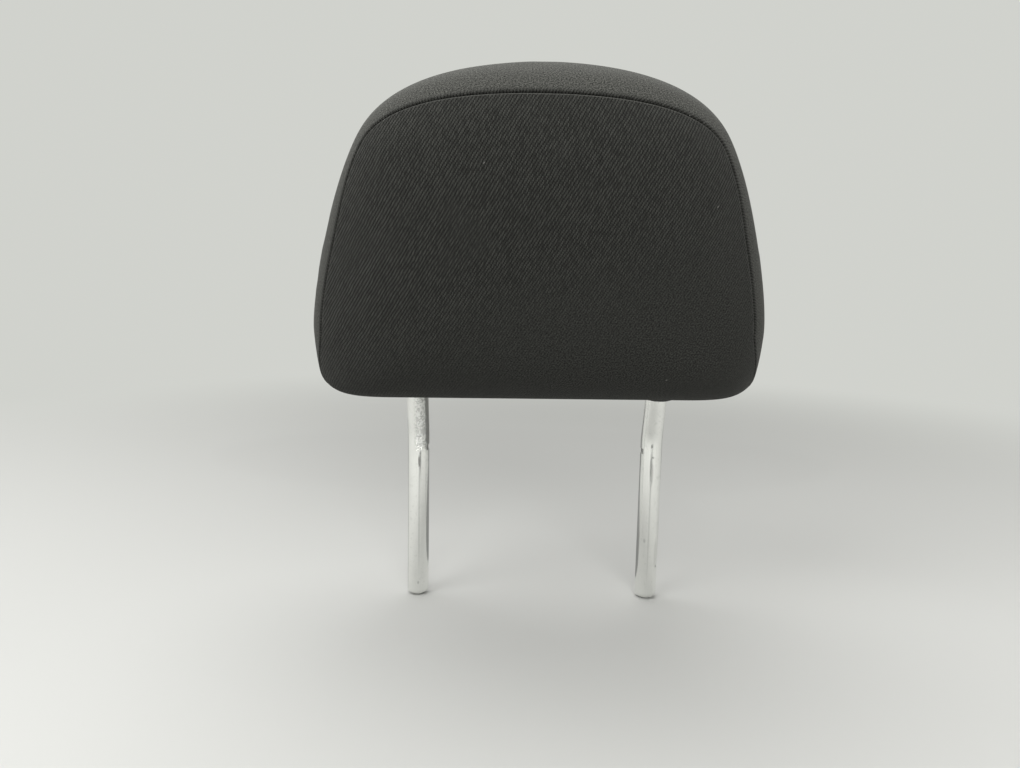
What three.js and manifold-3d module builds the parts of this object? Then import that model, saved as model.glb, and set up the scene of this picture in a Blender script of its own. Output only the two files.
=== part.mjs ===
// A car headrest. One bent steel bar makes the two posts and the bow inside the cushion. A moulded core
// in two halves is screwed round the bow, foam is moulded round the core, and a sewn cloth cover in three
// panels is pulled over the foam and hooked shut underneath, between two plastic collars.
// Millimetres, +Z up along the posts. The cushion faces -Y; the origin lies midway between the post tips.
import * as THREE from "three";
import { mergeVertices } from "three/addons/utils/BufferGeometryUtils.js";
import Module from "manifold-3d";

const wasm = await Module();
wasm.setup();

// Bent bar
const barDiameter = 12;
const postSpacing = 132;
const postLength = 94;
const leanAngle = THREE.MathUtils.degToRad(17);
const leanBendRadius = 38;
const cornerBendRadius = 28;
const bowHeight = 132;
const tipRounding = 3.4;
const lockNotchHeight = 3;
const lockNotchDepth = 0.8;
const lockNotchLevel = 86.5;

// Cushion outline, seen square to its face; heights are measured from the lean bend along the upper legs
const cushionWidth = 234;
const cushionBottom = 30;
const cushionHeight = 165;
const widestRise = 37;
const shoulderInset = 29.5;
const shoulderDrop = 31;
const shoulderSlope = THREE.MathUtils.degToRad(59);
const bottomCornerInset = 37;
const crownReach = 51;
const shoulderReachUp = 22;
const shoulderReachDown = 31;
const sideReachUp = 14;
const sideReachDown = 33;
const cornerReach = 35;
const middleShare = 0.455;

// Cushion depth, from the plane of the upper legs to the middle of the face and of the back
const faceDepth = 43;
const backDepth = 40;
const faceSquareness = 3.2;
const backSquareness = 2.8;

// Sewn cover; each seam share is how far out a seam lies between the middle of a side and the rim
const coverThickness = 3;
const crownSeamShare = 0.88;
const shoulderSeamShare = 0.944;
const sideSeamShare = 0.92;
const cornerSeamShare = 0.98;
const bandEndRise = 10;
const seamDip = 1;
const closingGap = 2;
const coverSlack = 0.5;
const seatGap = 0.3;

// Moulded core
const coreWall = 2.5;
const coreDepth = 17;
const coreSideMargin = 5;
const coreTaper = 6;
const coreBottomRise = 22;
const coreCornerRadius = 10;
const ribThickness = 2;
const ribSpacing = 44;
const levelRibCount = 2;
const bossDiameter = 10;
const bossSpacing = 52;
const bossEndMargin = 12;
const bossBarMargin = 3;

// Core screws
const screwDiameter = 3.4;
const screwHeadDiameter = 7.4;
const screwHeadHeight = 2.6;
const screwHeadChamfer = 0.8;
const screwPointLength = 3;
const screwPointDiameter = 0.8;
const screwPointMargin = 1;
const screwSlotLength = 4.4;
const screwSlotWidth = 0.9;
const screwRecess = 1.4;

// Post collars and the hooked closing strips under the cushion
const collarFlangeDiameter = 24;
const collarFlangeHeight = 2;
const collarFlangeChamfer = 1;
const collarSleeveWall = 2;
const collarSleeveLength = 11;
const stripWall = 1.5;
const stripHeight = 9;
const stripHookDepth = 3.2;
const stripHookWidth = 7.8;
const stripEndMargin = 2;
const stripRecess = 1;

// Fineness of the faceted surfaces
const outlineStations = 64;
const barSides = 20;
const bendSteps = 8;
const roundSides = 24;
const screwSides = 12;
const curveSegments = 4;

// How far a cutting solid reaches past what it cuts, and how close two points are to be one
const cutMargin = 1;
const mergeDistance = 1e-4;

const barRadius = barDiameter / 2;
const halfSpacing = postSpacing / 2;
const cushionTop = cushionBottom + cushionHeight;
const cushionMiddle = cushionBottom + cushionHeight * middleShare;
const collarSleeveRadius = barRadius + seatGap + collarSleeveWall;
const stripLength = postSpacing - 2 * (collarSleeveRadius + 2 * seatGap + stripEndMargin);

// Joins a list of triangles on shared points into a geometry whose faces point outwards.
function closedGeometry(points, triangles) {
  let volume = 0;
  for (const [a, b, c] of triangles) {
    volume += points[a].dot(points[b].clone().cross(points[c]));
  }
  const turned = volume < 0 ? triangles.map(([a, b, c]) => [a, c, b]) : triangles;
  const geometry = new THREE.BufferGeometry().setFromPoints(points);
  geometry.setIndex(turned.flat());
  geometry.computeVertexNormals();
  return geometry;
}

// Two triangles for a four-cornered patch, split along its shorter diagonal.
function patch(points, a, b, c, d) {
  const isShort = points[a].distanceTo(points[c]) <= points[b].distanceTo(points[d]);
  return isShort ? [[a, b, c], [a, c, d]] : [[a, b, d], [b, c, d]];
}

// Closed skin over a row of rings, with a middle point at each end.
function skin(firstMiddle, rings, lastMiddle) {
  const around = rings[0].length;
  const points = [firstMiddle, ...rings.flat(), lastMiddle];
  const last = points.length - 1;
  const triangles = [];
  const at = (ring, k) => 1 + ring * around + (k % around);
  for (let k = 0; k < around; k++) {
    triangles.push([0, at(0, k + 1), at(0, k)]);
    triangles.push([last, at(rings.length - 1, k), at(rings.length - 1, k + 1)]);
    for (let ring = 0; ring + 1 < rings.length; ring++) {
      const corners = [at(ring, k), at(ring, k + 1), at(ring + 1, k + 1), at(ring + 1, k)];
      triangles.push(...patch(points, ...corners));
    }
  }
  return closedGeometry(points, triangles);
}

// Strip of even thickness through a row of sections, each an outer row of points and the same inner row.
function strip(sections) {
  const across = sections[0].outer.length;
  const loop = 2 * across;
  const points = sections.flatMap(({ outer, inner }) => [...outer, ...[...inner].reverse()]);
  const triangles = [];
  const at = (section, k) => section * loop + (k % loop);
  for (let section = 0; section + 1 < sections.length; section++) {
    for (let k = 0; k < loop; k++) {
      const corners = [at(section, k), at(section, k + 1), at(section + 1, k + 1), at(section + 1, k)];
      triangles.push(...patch(points, ...corners));
    }
  }
  const end = sections.length - 1;
  for (let k = 0; k + 1 < across; k++) {
    const opposite = loop - 1 - k;
    triangles.push(...patch(points, at(0, k + 1), at(0, k), at(0, opposite), at(0, opposite - 1)));
    const last = [at(end, k), at(end, k + 1), at(end, opposite - 1), at(end, opposite)];
    triangles.push(...patch(points, ...last));
  }
  return closedGeometry(points, triangles);
}

// Closed geometry with the points of its faces shared and its faces turned outwards.
function outward(geometry) {
  const bare = geometry.clone().deleteAttribute("normal").deleteAttribute("uv");
  const shared = mergeVertices(bare, mergeDistance);
  const position = shared.getAttribute("position");
  const points = [...Array(position.count).keys()].map((i) =>
    new THREE.Vector3().fromBufferAttribute(position, i),
  );
  const triangles = [];
  for (let i = 0; i < shared.index.count; i += 3) {
    const [a, b, c] = [0, 1, 2].map((k) => shared.index.getX(i + k));
    if (a !== b && b !== c && a !== c) triangles.push([a, b, c]);
  }
  return closedGeometry(points, triangles);
}

// Solid of a closed geometry, for cutting and joining.
function solidOf(geometry) {
  const closed = outward(geometry);
  const mesh = new wasm.Mesh({
    numProp: 3,
    vertProperties: closed.getAttribute("position").array,
    triVerts: new Uint32Array(closed.index.array),
  });
  return new wasm.Manifold(mesh);
}

// Geometry of a solid.
function geometryOf(solid) {
  const { vertProperties, triVerts } = solid.getMesh();
  const geometry = new THREE.BufferGeometry();
  geometry.setAttribute("position", new THREE.BufferAttribute(Float32Array.from(vertProperties), 3));
  geometry.setIndex([...triVerts]);
  geometry.computeVertexNormals();
  return geometry;
}

// Box between two corners.
function box(low, high) {
  const size = high.map((value, i) => value - low[i]);
  const middle = high.map((value, i) => (value + low[i]) / 2);
  return solidOf(new THREE.BoxGeometry(...size).translate(...middle));
}

// Straight round solid between two levels of y, about the point x, z.
function roundAcross(radius, x, z, yFrom, yTo) {
  const length = yTo - yFrom;
  const geometry = new THREE.CylinderGeometry(radius, radius, length, roundSides);
  return solidOf(geometry.translate(x, (yFrom + yTo) / 2, z));
}

// Straight round solid between two levels of z, about the point x, y = 0.
function roundUpright(radius, x, zFrom, zTo) {
  const geometry = new THREE.CylinderGeometry(radius, radius, zTo - zFrom, roundSides);
  return solidOf(geometry.rotateX(Math.PI / 2).translate(x, 0, (zFrom + zTo) / 2));
}

// Centre line of a bar bent at each inner corner: a list of points, each with its direction.
function bentCentreLine(corners, bendRadii) {
  const line = [];
  const directionFrom = (i) => corners[i + 1].clone().sub(corners[i]).normalize();
  line.push({ point: corners[0].clone(), direction: directionFrom(0) });
  for (let i = 1; i + 1 < corners.length; i++) {
    const into = directionFrom(i - 1);
    const outOf = directionFrom(i);
    const turn = into.angleTo(outOf);
    const radius = bendRadii[i - 1];
    const setback = radius * Math.tan(turn / 2);
    const inward = outOf.clone().addScaledVector(into, -outOf.dot(into)).normalize();
    const start = corners[i].clone().addScaledVector(into, -setback);
    const centre = start.clone().addScaledVector(inward, radius);
    const steps = Math.max(3, Math.round((bendSteps * turn) / (Math.PI / 2)));
    for (let step = 0; step <= steps; step++) {
      const angle = (turn * step) / steps;
      const point = centre
        .clone()
        .addScaledVector(inward, -radius * Math.cos(angle))
        .addScaledVector(into, radius * Math.sin(angle));
      const direction = into
        .clone()
        .multiplyScalar(Math.cos(angle))
        .addScaledVector(inward, Math.sin(angle));
      line.push({ point, direction });
    }
  }
  const end = corners.length - 1;
  line.push({ point: corners[end].clone(), direction: directionFrom(end - 1) });
  return line;
}

// Stations of a rounded tip, from its flat end inwards.
function tipStations({ point, direction }, inward, radius, rounding) {
  return [0, 30, 60, 90].map((degrees) => {
    const angle = THREE.MathUtils.degToRad(degrees);
    return {
      point: point.clone().addScaledVector(direction, inward * rounding * (1 - Math.cos(angle))),
      direction,
      radius: radius - rounding * (1 - Math.sin(angle)),
    };
  });
}

// Round bar along a centre line; rounding is the radius of the edge at its two tips.
function bentBar(corners, bendRadii, radius, rounding = 0) {
  const line = bentCentreLine(corners, bendRadii).map((station) => ({ ...station, radius }));
  if (rounding > 0) {
    line.splice(0, 1, ...tipStations(line[0], 1, radius, rounding));
    line.splice(-1, 1, ...tipStations(line.at(-1), -1, radius, rounding).reverse());
  }
  const side = new THREE.Vector3(0, 1, 0);
  const rings = line.map(({ point, direction, radius: ringRadius }, i) => {
    if (i > 0) {
      side.applyQuaternion(new THREE.Quaternion().setFromUnitVectors(line[i - 1].direction, direction));
    }
    const up = direction.clone().cross(side);
    return Array.from({ length: barSides }, (_, k) => {
      const angle = (2 * Math.PI * k) / barSides;
      return point
        .clone()
        .addScaledVector(side, ringRadius * Math.cos(angle))
        .addScaledVector(up, ringRadius * Math.sin(angle));
    });
  });
  return skin(line[0].point, rings, line.at(-1).point);
}

// Bent bar, in the frame of the posts
const legUp = new THREE.Vector3(0, -Math.sin(leanAngle), Math.cos(leanAngle));
const bowCorners = [-1, 1].map((side) => {
  const lean = new THREE.Vector3(side * halfSpacing, 0, postLength);
  return [
    new THREE.Vector3(side * halfSpacing, 0, 0),
    lean,
    lean.clone().addScaledVector(legUp, bowHeight),
  ];
});

function makePostFrame() {
  const corners = [...bowCorners[0], ...[...bowCorners[1]].reverse()];
  const bends = [leanBendRadius, cornerBendRadius, cornerBendRadius, leanBendRadius];
  let bar = solidOf(bentBar(corners, bends, barRadius, tipRounding));
  const innerFace = halfSpacing - barRadius;
  for (const side of [-1, 1]) {
    const ends = [side * (innerFace - cutMargin), side * (innerFace + lockNotchDepth)];
    const low = [Math.min(...ends), -barRadius, lockNotchLevel - lockNotchHeight / 2];
    const high = [Math.max(...ends), barRadius, lockNotchLevel + lockNotchHeight / 2];
    bar = bar.subtract(box(low, high));
  }
  return geometryOf(bar);
}

// Bar of the bow in the frame of the cushion, widened by a clearance, for cutting its channel.
function bowChannel(zFrom) {
  const corners = [
    new THREE.Vector3(-halfSpacing, 0, zFrom),
    new THREE.Vector3(-halfSpacing, 0, bowHeight),
    new THREE.Vector3(halfSpacing, 0, bowHeight),
    new THREE.Vector3(halfSpacing, 0, zFrom),
  ];
  return solidOf(bentBar(corners, [cornerBendRadius, cornerBendRadius], barRadius + seatGap));
}

// Padded form: a closed outline that swells to a face and a back
function makeOutline() {
  const half = cushionWidth / 2;
  const shoulder = new THREE.Vector2(half - shoulderInset, cushionTop - shoulderDrop);
  const along = new THREE.Vector2(Math.cos(shoulderSlope), -Math.sin(shoulderSlope));
  const above = shoulder.clone().addScaledVector(along, -shoulderReachUp);
  const below = shoulder.clone().addScaledVector(along, shoulderReachDown);
  const widest = cushionBottom + widestRise;
  const flat = half - bottomCornerInset;
  const path = new THREE.Path();
  path.moveTo(0, cushionTop);
  path.bezierCurveTo(crownReach, cushionTop, above.x, above.y, shoulder.x, shoulder.y);
  path.bezierCurveTo(below.x, below.y, half, widest + sideReachUp, half, widest);
  path.bezierCurveTo(half, widest - sideReachDown, flat + cornerReach, cushionBottom, flat, cushionBottom);
  path.lineTo(0, cushionBottom);
  const right = path.getSpacedPoints(outlineStations / 2);
  const left = right.slice(1, -1).reverse().map(({ x, y }) => new THREE.Vector2(-x, y));
  return [...right, ...left];
}

const outline = makeOutline();

// Face and back of the cushion: how deep each is, how square its edge is, and which way it looks along y.
const face = { depth: faceDepth, squareness: faceSquareness, way: -1 };
const back = { depth: backDepth, squareness: backSquareness, way: 1 };

// Point of the padded form at an outline station. The turn is 90 degrees in the middle of a side and 0 at
// the rim, and inset is the distance below the surface.
function formPoint(station, side, turn, inset) {
  const rim = outline[station % outlineStations];
  const toRim = new THREE.Vector2(rim.x, rim.y - cushionMiddle);
  const share = 2 / side.squareness;
  const reach = (1 - inset / toRim.length()) * Math.cos(turn) ** share;
  const y = side.way * (side.depth - inset) * Math.sin(turn) ** share;
  return new THREE.Vector3(toRim.x * reach, y, cushionMiddle + toRim.y * reach);
}

// Depth of a seam from the plane of the legs at an outline station.
function seamDepth(station, side) {
  const { y: level } = outline[station % outlineStations];
  const shoulderLevel = cushionTop - shoulderDrop;
  const waist = cushionBottom + cushionHeight / 2;
  const corner = cushionBottom + bandEndRise;
  let reach = sideSeamShare;
  if (level > shoulderLevel) {
    const share = Math.sin((Math.PI / 2) * ((cushionTop - level) / shoulderDrop));
    reach = THREE.MathUtils.lerp(crownSeamShare, shoulderSeamShare, share);
  } else if (level > waist) {
    const share = THREE.MathUtils.smoothstep(level, waist, shoulderLevel);
    reach = THREE.MathUtils.lerp(sideSeamShare, shoulderSeamShare, share);
  } else if (level < cushionBottom + widestRise) {
    const share = (cushionBottom + widestRise - level) / (widestRise - bandEndRise);
    reach = THREE.MathUtils.lerp(sideSeamShare, cornerSeamShare, Math.min(1, share));
  }
  const depth = side.depth * (1 - reach ** side.squareness) ** (1 / side.squareness);
  return depth * THREE.MathUtils.clamp((level - cushionBottom) / (corner - cushionBottom), 0, 1);
}

// Turn at which the surface lies at a depth.
function turnAtDepth(depth, side) {
  return Math.asin((depth / side.depth) ** (side.squareness / 2));
}

const panelRows = [0.03, 0.2, 0.42, 0.62, 0.8, 0.93, 1];
const bandRows = [0.25, 0.5, 0.75];
const quarterTurn = Math.PI / 2;

// Rows of a face or back panel at one station: turns from the middle out to the panel's edge.
function panelTurns(station, side, clearance) {
  const edge = turnAtDepth(Math.max(seamDepth(station, side), closingGap / 2) + clearance, side);
  return panelRows.map((share) => THREE.MathUtils.lerp(quarterTurn, edge, share));
}

// Row of the band at one station: its place between the face seam (0) and the back seam (1).
function bandPoint(station, share, inset, clearance) {
  const [from, to] = [face, back].map((side) =>
    turnAtDepth(Math.max(seamDepth(station, side), closingGap / 2) - clearance, side),
  );
  const turn = from - share * (from + to);
  return turn >= 0 ? formPoint(station, face, turn, inset) : formPoint(station, back, -turn, inset);
}

const stations = [...Array(outlineStations).keys()];

// Surface of the cushion at an inset, in rings from the middle of a panel to its edge.
function panelRings(side, inset, clearance) {
  const turns = stations.map((station) => panelTurns(station, side, clearance));
  return panelRows.map((_, row) =>
    stations.map((station) => formPoint(station, side, turns[station][row], inset(row))),
  );
}

// Cuts the holes for the collar sleeves and the slot for the closing strips into the underside.
function bottomCut(solid, low) {
  let cut = solid;
  for (const side of [-1, 1]) {
    const radius = collarSleeveRadius + seatGap;
    const holeTop = cushionBottom + collarSleeveLength + seatGap;
    cut = cut.subtract(roundUpright(radius, side * halfSpacing, low, holeTop));
  }
  const halfSlot = stripLength / 2 + seatGap;
  const slotTop = cushionBottom + stripRecess + stripHeight + seatGap;
  const halfWidth = stripHookWidth / 2 + seatGap;
  return cut.subtract(box([-halfSlot, -halfWidth, low], [halfSlot, halfWidth, slotTop]));
}

// Cloth panel of the face or the back: it runs under the cushion to the closing line.
function makePanel(side) {
  const lastRow = panelRows.length - 1;
  const dip = (row) => (row === lastRow ? seamDip : 0);
  const outer = panelRings(side, dip, seatGap / 2);
  const inner = panelRings(side, () => coverThickness, seatGap / 2).reverse();
  const middle = (inset) => new THREE.Vector3(0, side.way * (side.depth - inset), cushionMiddle);
  const panel = skin(middle(0), [...outer, ...inner], middle(coverThickness));
  return geometryOf(bottomCut(solidOf(panel), cushionBottom - coverThickness));
}

// Cloth band over the top and down both sides, ending under the lower corners.
function makeBand() {
  const isBand = (station) => [face, back].every((side) => seamDepth(station, side) > closingGap);
  const reach = stations.findIndex((station) => !isBand(station)) - 1;
  const shares = [0, ...bandRows, 1];
  const sections = [];
  for (let k = -reach; k <= reach; k++) {
    const station = (k + outlineStations) % outlineStations;
    const dips = shares.map((share) => (share === 0 || share === 1 ? seamDip : 0));
    sections.push({
      outer: shares.map((share, i) => bandPoint(station, share, dips[i], seatGap / 2)),
      inner: shares.map((share) => bandPoint(station, share, coverThickness, seatGap / 2)),
    });
  }
  return strip(sections);
}

// Foam under the cover, moulded round the core and the bow.
function makeFoamPad() {
  const inset = coverThickness + coverSlack;
  const faceRings = panelRings(face, () => inset, 0);
  const backRings = panelRings(back, () => inset, 0).reverse();
  const bandRings = bandRows.map((share) => stations.map((station) => bandPoint(station, share, inset, 0)));
  const middle = (side) => new THREE.Vector3(0, side.way * (side.depth - inset), cushionMiddle);
  const bun = skin(middle(face), [...faceRings, ...bandRings, ...backRings], middle(back));
  const pocket = coreBlock(-coreDepth - seatGap, coreDepth + seatGap, -seatGap);
  const below = cushionBottom - coverThickness;
  const solid = solidOf(bun).subtract(pocket).subtract(bowChannel(below));
  return geometryOf(bottomCut(solid, below));
}

// Core
const coreBottom = cushionBottom + coreBottomRise;
const bossTop = bowHeight + barRadius + bossDiameter / 2 + bossBarMargin;
const coreTop = bossTop + bossDiameter / 2 + coreWall / 2;
const coreHalfWidth = halfSpacing + barRadius + seatGap + coreWall + coreSideMargin;

// Outline with rounded corners through a list of corners.
function roundedShape(corners, radius) {
  const shape = new THREE.Shape();
  corners.forEach((corner, i) => {
    const before = corners.at(i - 1).clone().sub(corner).setLength(radius).add(corner);
    const after = corners[(i + 1) % corners.length].clone().sub(corner).setLength(radius).add(corner);
    if (i === 0) {
      shape.moveTo(before.x, before.y);
    } else {
      shape.lineTo(before.x, before.y);
    }
    shape.quadraticCurveTo(corner.x, corner.y, after.x, after.y);
  });
  shape.closePath();
  return shape;
}

// Block with the core's outline, drawn in by an inset, between two levels of y.
function coreBlock(yFrom, yTo, inset) {
  const low = coreBottom + inset;
  const high = coreTop - inset;
  const wide = coreHalfWidth - inset;
  const narrow = coreHalfWidth - coreTaper - inset;
  const corners = [
    new THREE.Vector2(-wide, low),
    new THREE.Vector2(wide, low),
    new THREE.Vector2(narrow, high),
    new THREE.Vector2(-narrow, high),
  ];
  const shape = roundedShape(corners, coreCornerRadius - inset);
  const block = new THREE.ExtrudeGeometry(shape, {
    depth: yTo - yFrom,
    bevelEnabled: false,
    curveSegments,
  });
  return solidOf(block.rotateX(Math.PI / 2).translate(0, yTo, 0));
}

const bossPlaces = [-1, 1].flatMap((side) =>
  [coreBottom + bossEndMargin, bossTop].map((z) => ({ x: (side * bossSpacing) / 2, z })),
);
const floorLevel = coreDepth - coreWall;
const rootLevel = coreDepth - coreWall / 2;

// Ribs that carry the bar, the full depth of the core.
function coreRibs() {
  const inset = coreWall / 2;
  const top = coreTop - inset;
  const low = coreBottom + inset;
  const wide = coreHalfWidth - inset;
  const halfRib = ribThickness / 2;
  const upright = [-ribSpacing, 0, ribSpacing].map((x) =>
    box([x - halfRib, -rootLevel, low], [x + halfRib, rootLevel, top]),
  );
  const level = Array.from({ length: levelRibCount }, (_, i) => {
    const z = THREE.MathUtils.lerp(coreBottom, bowHeight - barRadius, (i + 1) / (levelRibCount + 1));
    return box([-wide, -rootLevel, z - halfRib], [wide, rootLevel, z + halfRib]);
  });
  return [...upright, ...level].reduce((all, rib) => all.add(rib));
}

// Half of the core in front of or behind the bar: way is -1 for the front half, 1 for the rear half.
function makeCoreHalf(way) {
  const span = (from, to) => (way < 0 ? [-to, -from] : [from, to]);
  const block = (from, to, inset) => coreBlock(...span(from, to), inset);
  const inside = block(0, rootLevel, coreWall / 2);
  const ribs = coreRibs();
  const bosses = bossPlaces
    .map(({ x, z }) => roundAcross(bossDiameter / 2, x, z, -rootLevel, rootLevel))
    .reduce((all, boss) => all.add(boss));
  let half = block(0, coreDepth, 0)
    .subtract(block(-cutMargin, floorLevel, coreWall))
    .add(ribs.add(bosses).intersect(inside));
  const pilot = screwDiameter / 2 + seatGap;
  for (const { x, z } of bossPlaces) {
    const end = way < 0 ? floorLevel : coreDepth + cutMargin;
    half = half.subtract(roundAcross(pilot, x, z, ...span(-cutMargin, end)));
    if (way > 0) {
      const seat = coreDepth - screwHeadHeight - seatGap;
      const headHole = screwHeadDiameter / 2 + seatGap;
      half = half.subtract(roundAcross(headHole, x, z, seat, coreDepth + cutMargin));
    }
  }
  const side = 2 * coreHalfWidth;
  const splitGap = box([-side, -seatGap / 2, 0], [side, seatGap / 2, cushionTop]);
  return geometryOf(half.subtract(bowChannel(cushionBottom)).subtract(splitGap));
}

// Core screw with a cross recess, its head in the rear half.
function makeScrew({ x, z }) {
  const headTop = coreDepth - seatGap / 2;
  const headBottom = headTop - screwHeadHeight;
  const tip = screwPointMargin - floorLevel;
  const profile = [
    [0, headTop],
    [screwHeadDiameter / 2 - screwHeadChamfer, headTop],
    [screwHeadDiameter / 2, headTop - screwHeadChamfer],
    [screwHeadDiameter / 2, headBottom],
    [screwDiameter / 2, headBottom],
    [screwDiameter / 2, tip + screwPointLength],
    [screwPointDiameter / 2, tip],
    [0, tip],
  ];
  const turned = new THREE.LatheGeometry(
    profile.map(([radius, y]) => new THREE.Vector2(radius, y)),
    screwSides,
  );
  let screw = solidOf(turned);
  const arms = [
    [screwSlotLength / 2, screwSlotWidth / 2],
    [screwSlotWidth / 2, screwSlotLength / 2],
  ];
  for (const [dx, dz] of arms) {
    screw = screw.subtract(box([-dx, headTop - screwRecess, -dz], [dx, headTop + cutMargin, dz]));
  }
  return geometryOf(screw).translate(x, 0, z);
}

// Collar pressed into the cover round one post.
function makeCollar(side) {
  const bore = barRadius + seatGap;
  const low = cushionBottom - seatGap - collarFlangeHeight;
  const seat = cushionBottom - seatGap;
  const flange = collarFlangeDiameter / 2;
  const high = cushionBottom + collarSleeveLength;
  const profile = [
    [bore, low],
    [flange - collarFlangeChamfer, low],
    [flange, low + collarFlangeChamfer],
    [flange, seat],
    [collarSleeveRadius, seat],
    [collarSleeveRadius, high],
    [bore, high],
    [bore, low],
  ];
  const turned = new THREE.LatheGeometry(
    profile.map(([radius, y]) => new THREE.Vector2(radius, y)),
    roundSides,
  );
  return outward(turned.rotateX(Math.PI / 2)).translate(side * halfSpacing, 0, 0);
}

// Closing strips: two hooked profiles that hold each other, one along the edge of each panel. Each is a
// web, a bridge across the slot and a lip, in the y and z of the cushion.
function makeStrip(way) {
  const outer = stripHookWidth / 2;
  const inner = outer - stripWall;
  const farSide = outer - stripWall - seatGap;
  const low = cushionBottom + stripRecess;
  const high = low + stripHeight;
  const front = [
    [outer, low],
    [outer, high],
    [-farSide, high],
    [-farSide, high - stripHookDepth - stripWall],
    [stripWall - farSide, high - stripHookDepth - stripWall],
    [stripWall - farSide, high - stripWall],
    [inner, high - stripWall],
    [inner, low],
  ];
  const bridgeLow = high - stripHookDepth - 2 * stripWall - seatGap;
  const rear = [
    [outer, low],
    [outer, high - stripWall],
    [inner, high - stripWall],
    [inner, bridgeLow + stripWall],
    [stripWall - farSide, bridgeLow + stripWall],
    [stripWall - farSide, high - stripWall - seatGap],
    [-farSide, high - stripWall - seatGap],
    [-farSide, bridgeLow],
    [inner, bridgeLow],
    [inner, low],
  ];
  const points = (way < 0 ? front : rear).map(([y, z]) => new THREE.Vector2(way * y, z));
  const bar = new THREE.ExtrudeGeometry(new THREE.Shape(points), {
    depth: stripLength,
    bevelEnabled: false,
  });
  bar.translate(0, 0, -stripLength / 2);
  const toCushion = new THREE.Matrix4().makeBasis(
    new THREE.Vector3(0, 1, 0),
    new THREE.Vector3(0, 0, 1),
    new THREE.Vector3(1, 0, 0),
  );
  return outward(bar.applyMatrix4(toCushion));
}

const cloth = new THREE.MeshStandardMaterial({ color: 0x3c3c3a, roughness: 0.95, metalness: 0 });
const chrome = new THREE.MeshStandardMaterial({ color: 0xc8cac8, roughness: 0.25, metalness: 1 });
const plastic = new THREE.MeshStandardMaterial({ color: 0x1d1d1e, roughness: 0.6, metalness: 0 });
const corePlastic = new THREE.MeshStandardMaterial({ color: 0x6f7274, roughness: 0.6, metalness: 0 });
const foam = new THREE.MeshStandardMaterial({ color: 0xd9cfae, roughness: 1, metalness: 0 });
const steel = new THREE.MeshStandardMaterial({ color: 0xb4b6ae, roughness: 0.4, metalness: 0.9 });

// Named mesh with its material.
function piece(name, geometry, material) {
  const mesh = new THREE.Mesh(geometry, material);
  mesh.name = name;
  return mesh;
}

const headrest = new THREE.Group();
headrest.add(piece("post_frame", makePostFrame(), chrome));

const cushion = new THREE.Group();
cushion.position.z = postLength;
cushion.rotation.x = leanAngle;
headrest.add(cushion);
cushion.add(piece("core_front_half", makeCoreHalf(-1), corePlastic));
cushion.add(piece("core_rear_half", makeCoreHalf(1), corePlastic));
bossPlaces.forEach((place, i) => cushion.add(piece(`core_screw_${i + 1}`, makeScrew(place), steel)));
cushion.add(piece("foam_pad", makeFoamPad(), foam));
cushion.add(piece("cover_face_panel", makePanel(face), cloth));
cushion.add(piece("cover_band", makeBand(), cloth));
cushion.add(piece("cover_back_panel", makePanel(back), cloth));
cushion.add(piece("post_collar_left", makeCollar(-1), plastic));
cushion.add(piece("post_collar_right", makeCollar(1), plastic));
cushion.add(piece("closing_strip_face", makeStrip(-1), plastic));
cushion.add(piece("closing_strip_back", makeStrip(1), plastic));

export default headrest;
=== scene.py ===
import math

import bmesh
import bpy
import numpy as np
from bpy.props import FloatProperty, FloatVectorProperty, PointerProperty
from bpy.types import Operator, Panel, PropertyGroup
from mathutils import Matrix, Vector
from mathutils.bvhtree import BVHTree
from mathutils.geometry import interpolate_bezier
from mathutils.interpolate import poly_3d_calc


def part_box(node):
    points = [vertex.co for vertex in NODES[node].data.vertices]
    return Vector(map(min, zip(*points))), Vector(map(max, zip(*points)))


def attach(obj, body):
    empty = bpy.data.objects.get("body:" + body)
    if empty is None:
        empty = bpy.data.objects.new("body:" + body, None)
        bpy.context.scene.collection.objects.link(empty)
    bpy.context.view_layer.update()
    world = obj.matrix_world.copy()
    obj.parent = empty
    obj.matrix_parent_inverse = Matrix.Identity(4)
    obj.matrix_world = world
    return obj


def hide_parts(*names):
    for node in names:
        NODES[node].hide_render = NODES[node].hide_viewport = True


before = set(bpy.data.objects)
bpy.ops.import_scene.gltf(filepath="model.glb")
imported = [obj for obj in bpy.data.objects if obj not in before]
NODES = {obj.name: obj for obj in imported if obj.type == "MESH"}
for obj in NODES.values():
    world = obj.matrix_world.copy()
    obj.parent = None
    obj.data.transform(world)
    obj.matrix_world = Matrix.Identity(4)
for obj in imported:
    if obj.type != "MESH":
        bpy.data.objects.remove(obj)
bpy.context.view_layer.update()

bl_info = {
    "name": "Car Headrest",
    "version": (1, 0, 0),
    "blender": (4, 5, 0),
    "location": "3D View > Sidebar > Headrest",
    "description": "Dresses a car headrest: sewn twill cover, foam, chromed posts and trim",
    "category": "Object",
}

POST_LOW, POST_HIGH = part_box("post_frame")


def length(name, description, default, low=0.0, high=1.0):
    return FloatProperty(name=name, description=description, default=default, min=low, max=high,
                         precision=5, subtype="DISTANCE", unit="LENGTH")


def angle(name, description, degrees):
    return FloatProperty(name=name, description=description, default=math.radians(degrees),
                         subtype="ANGLE", unit="ROTATION")


def share(name, description, default, low=0.0, high=1.0):
    return FloatProperty(name=name, description=description, default=default, min=low, max=high)


def colour(name, description, default):
    return FloatVectorProperty(name=name, description=description, default=default, size=3,
                               min=0.0, max=1.0, subtype="COLOR")


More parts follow.
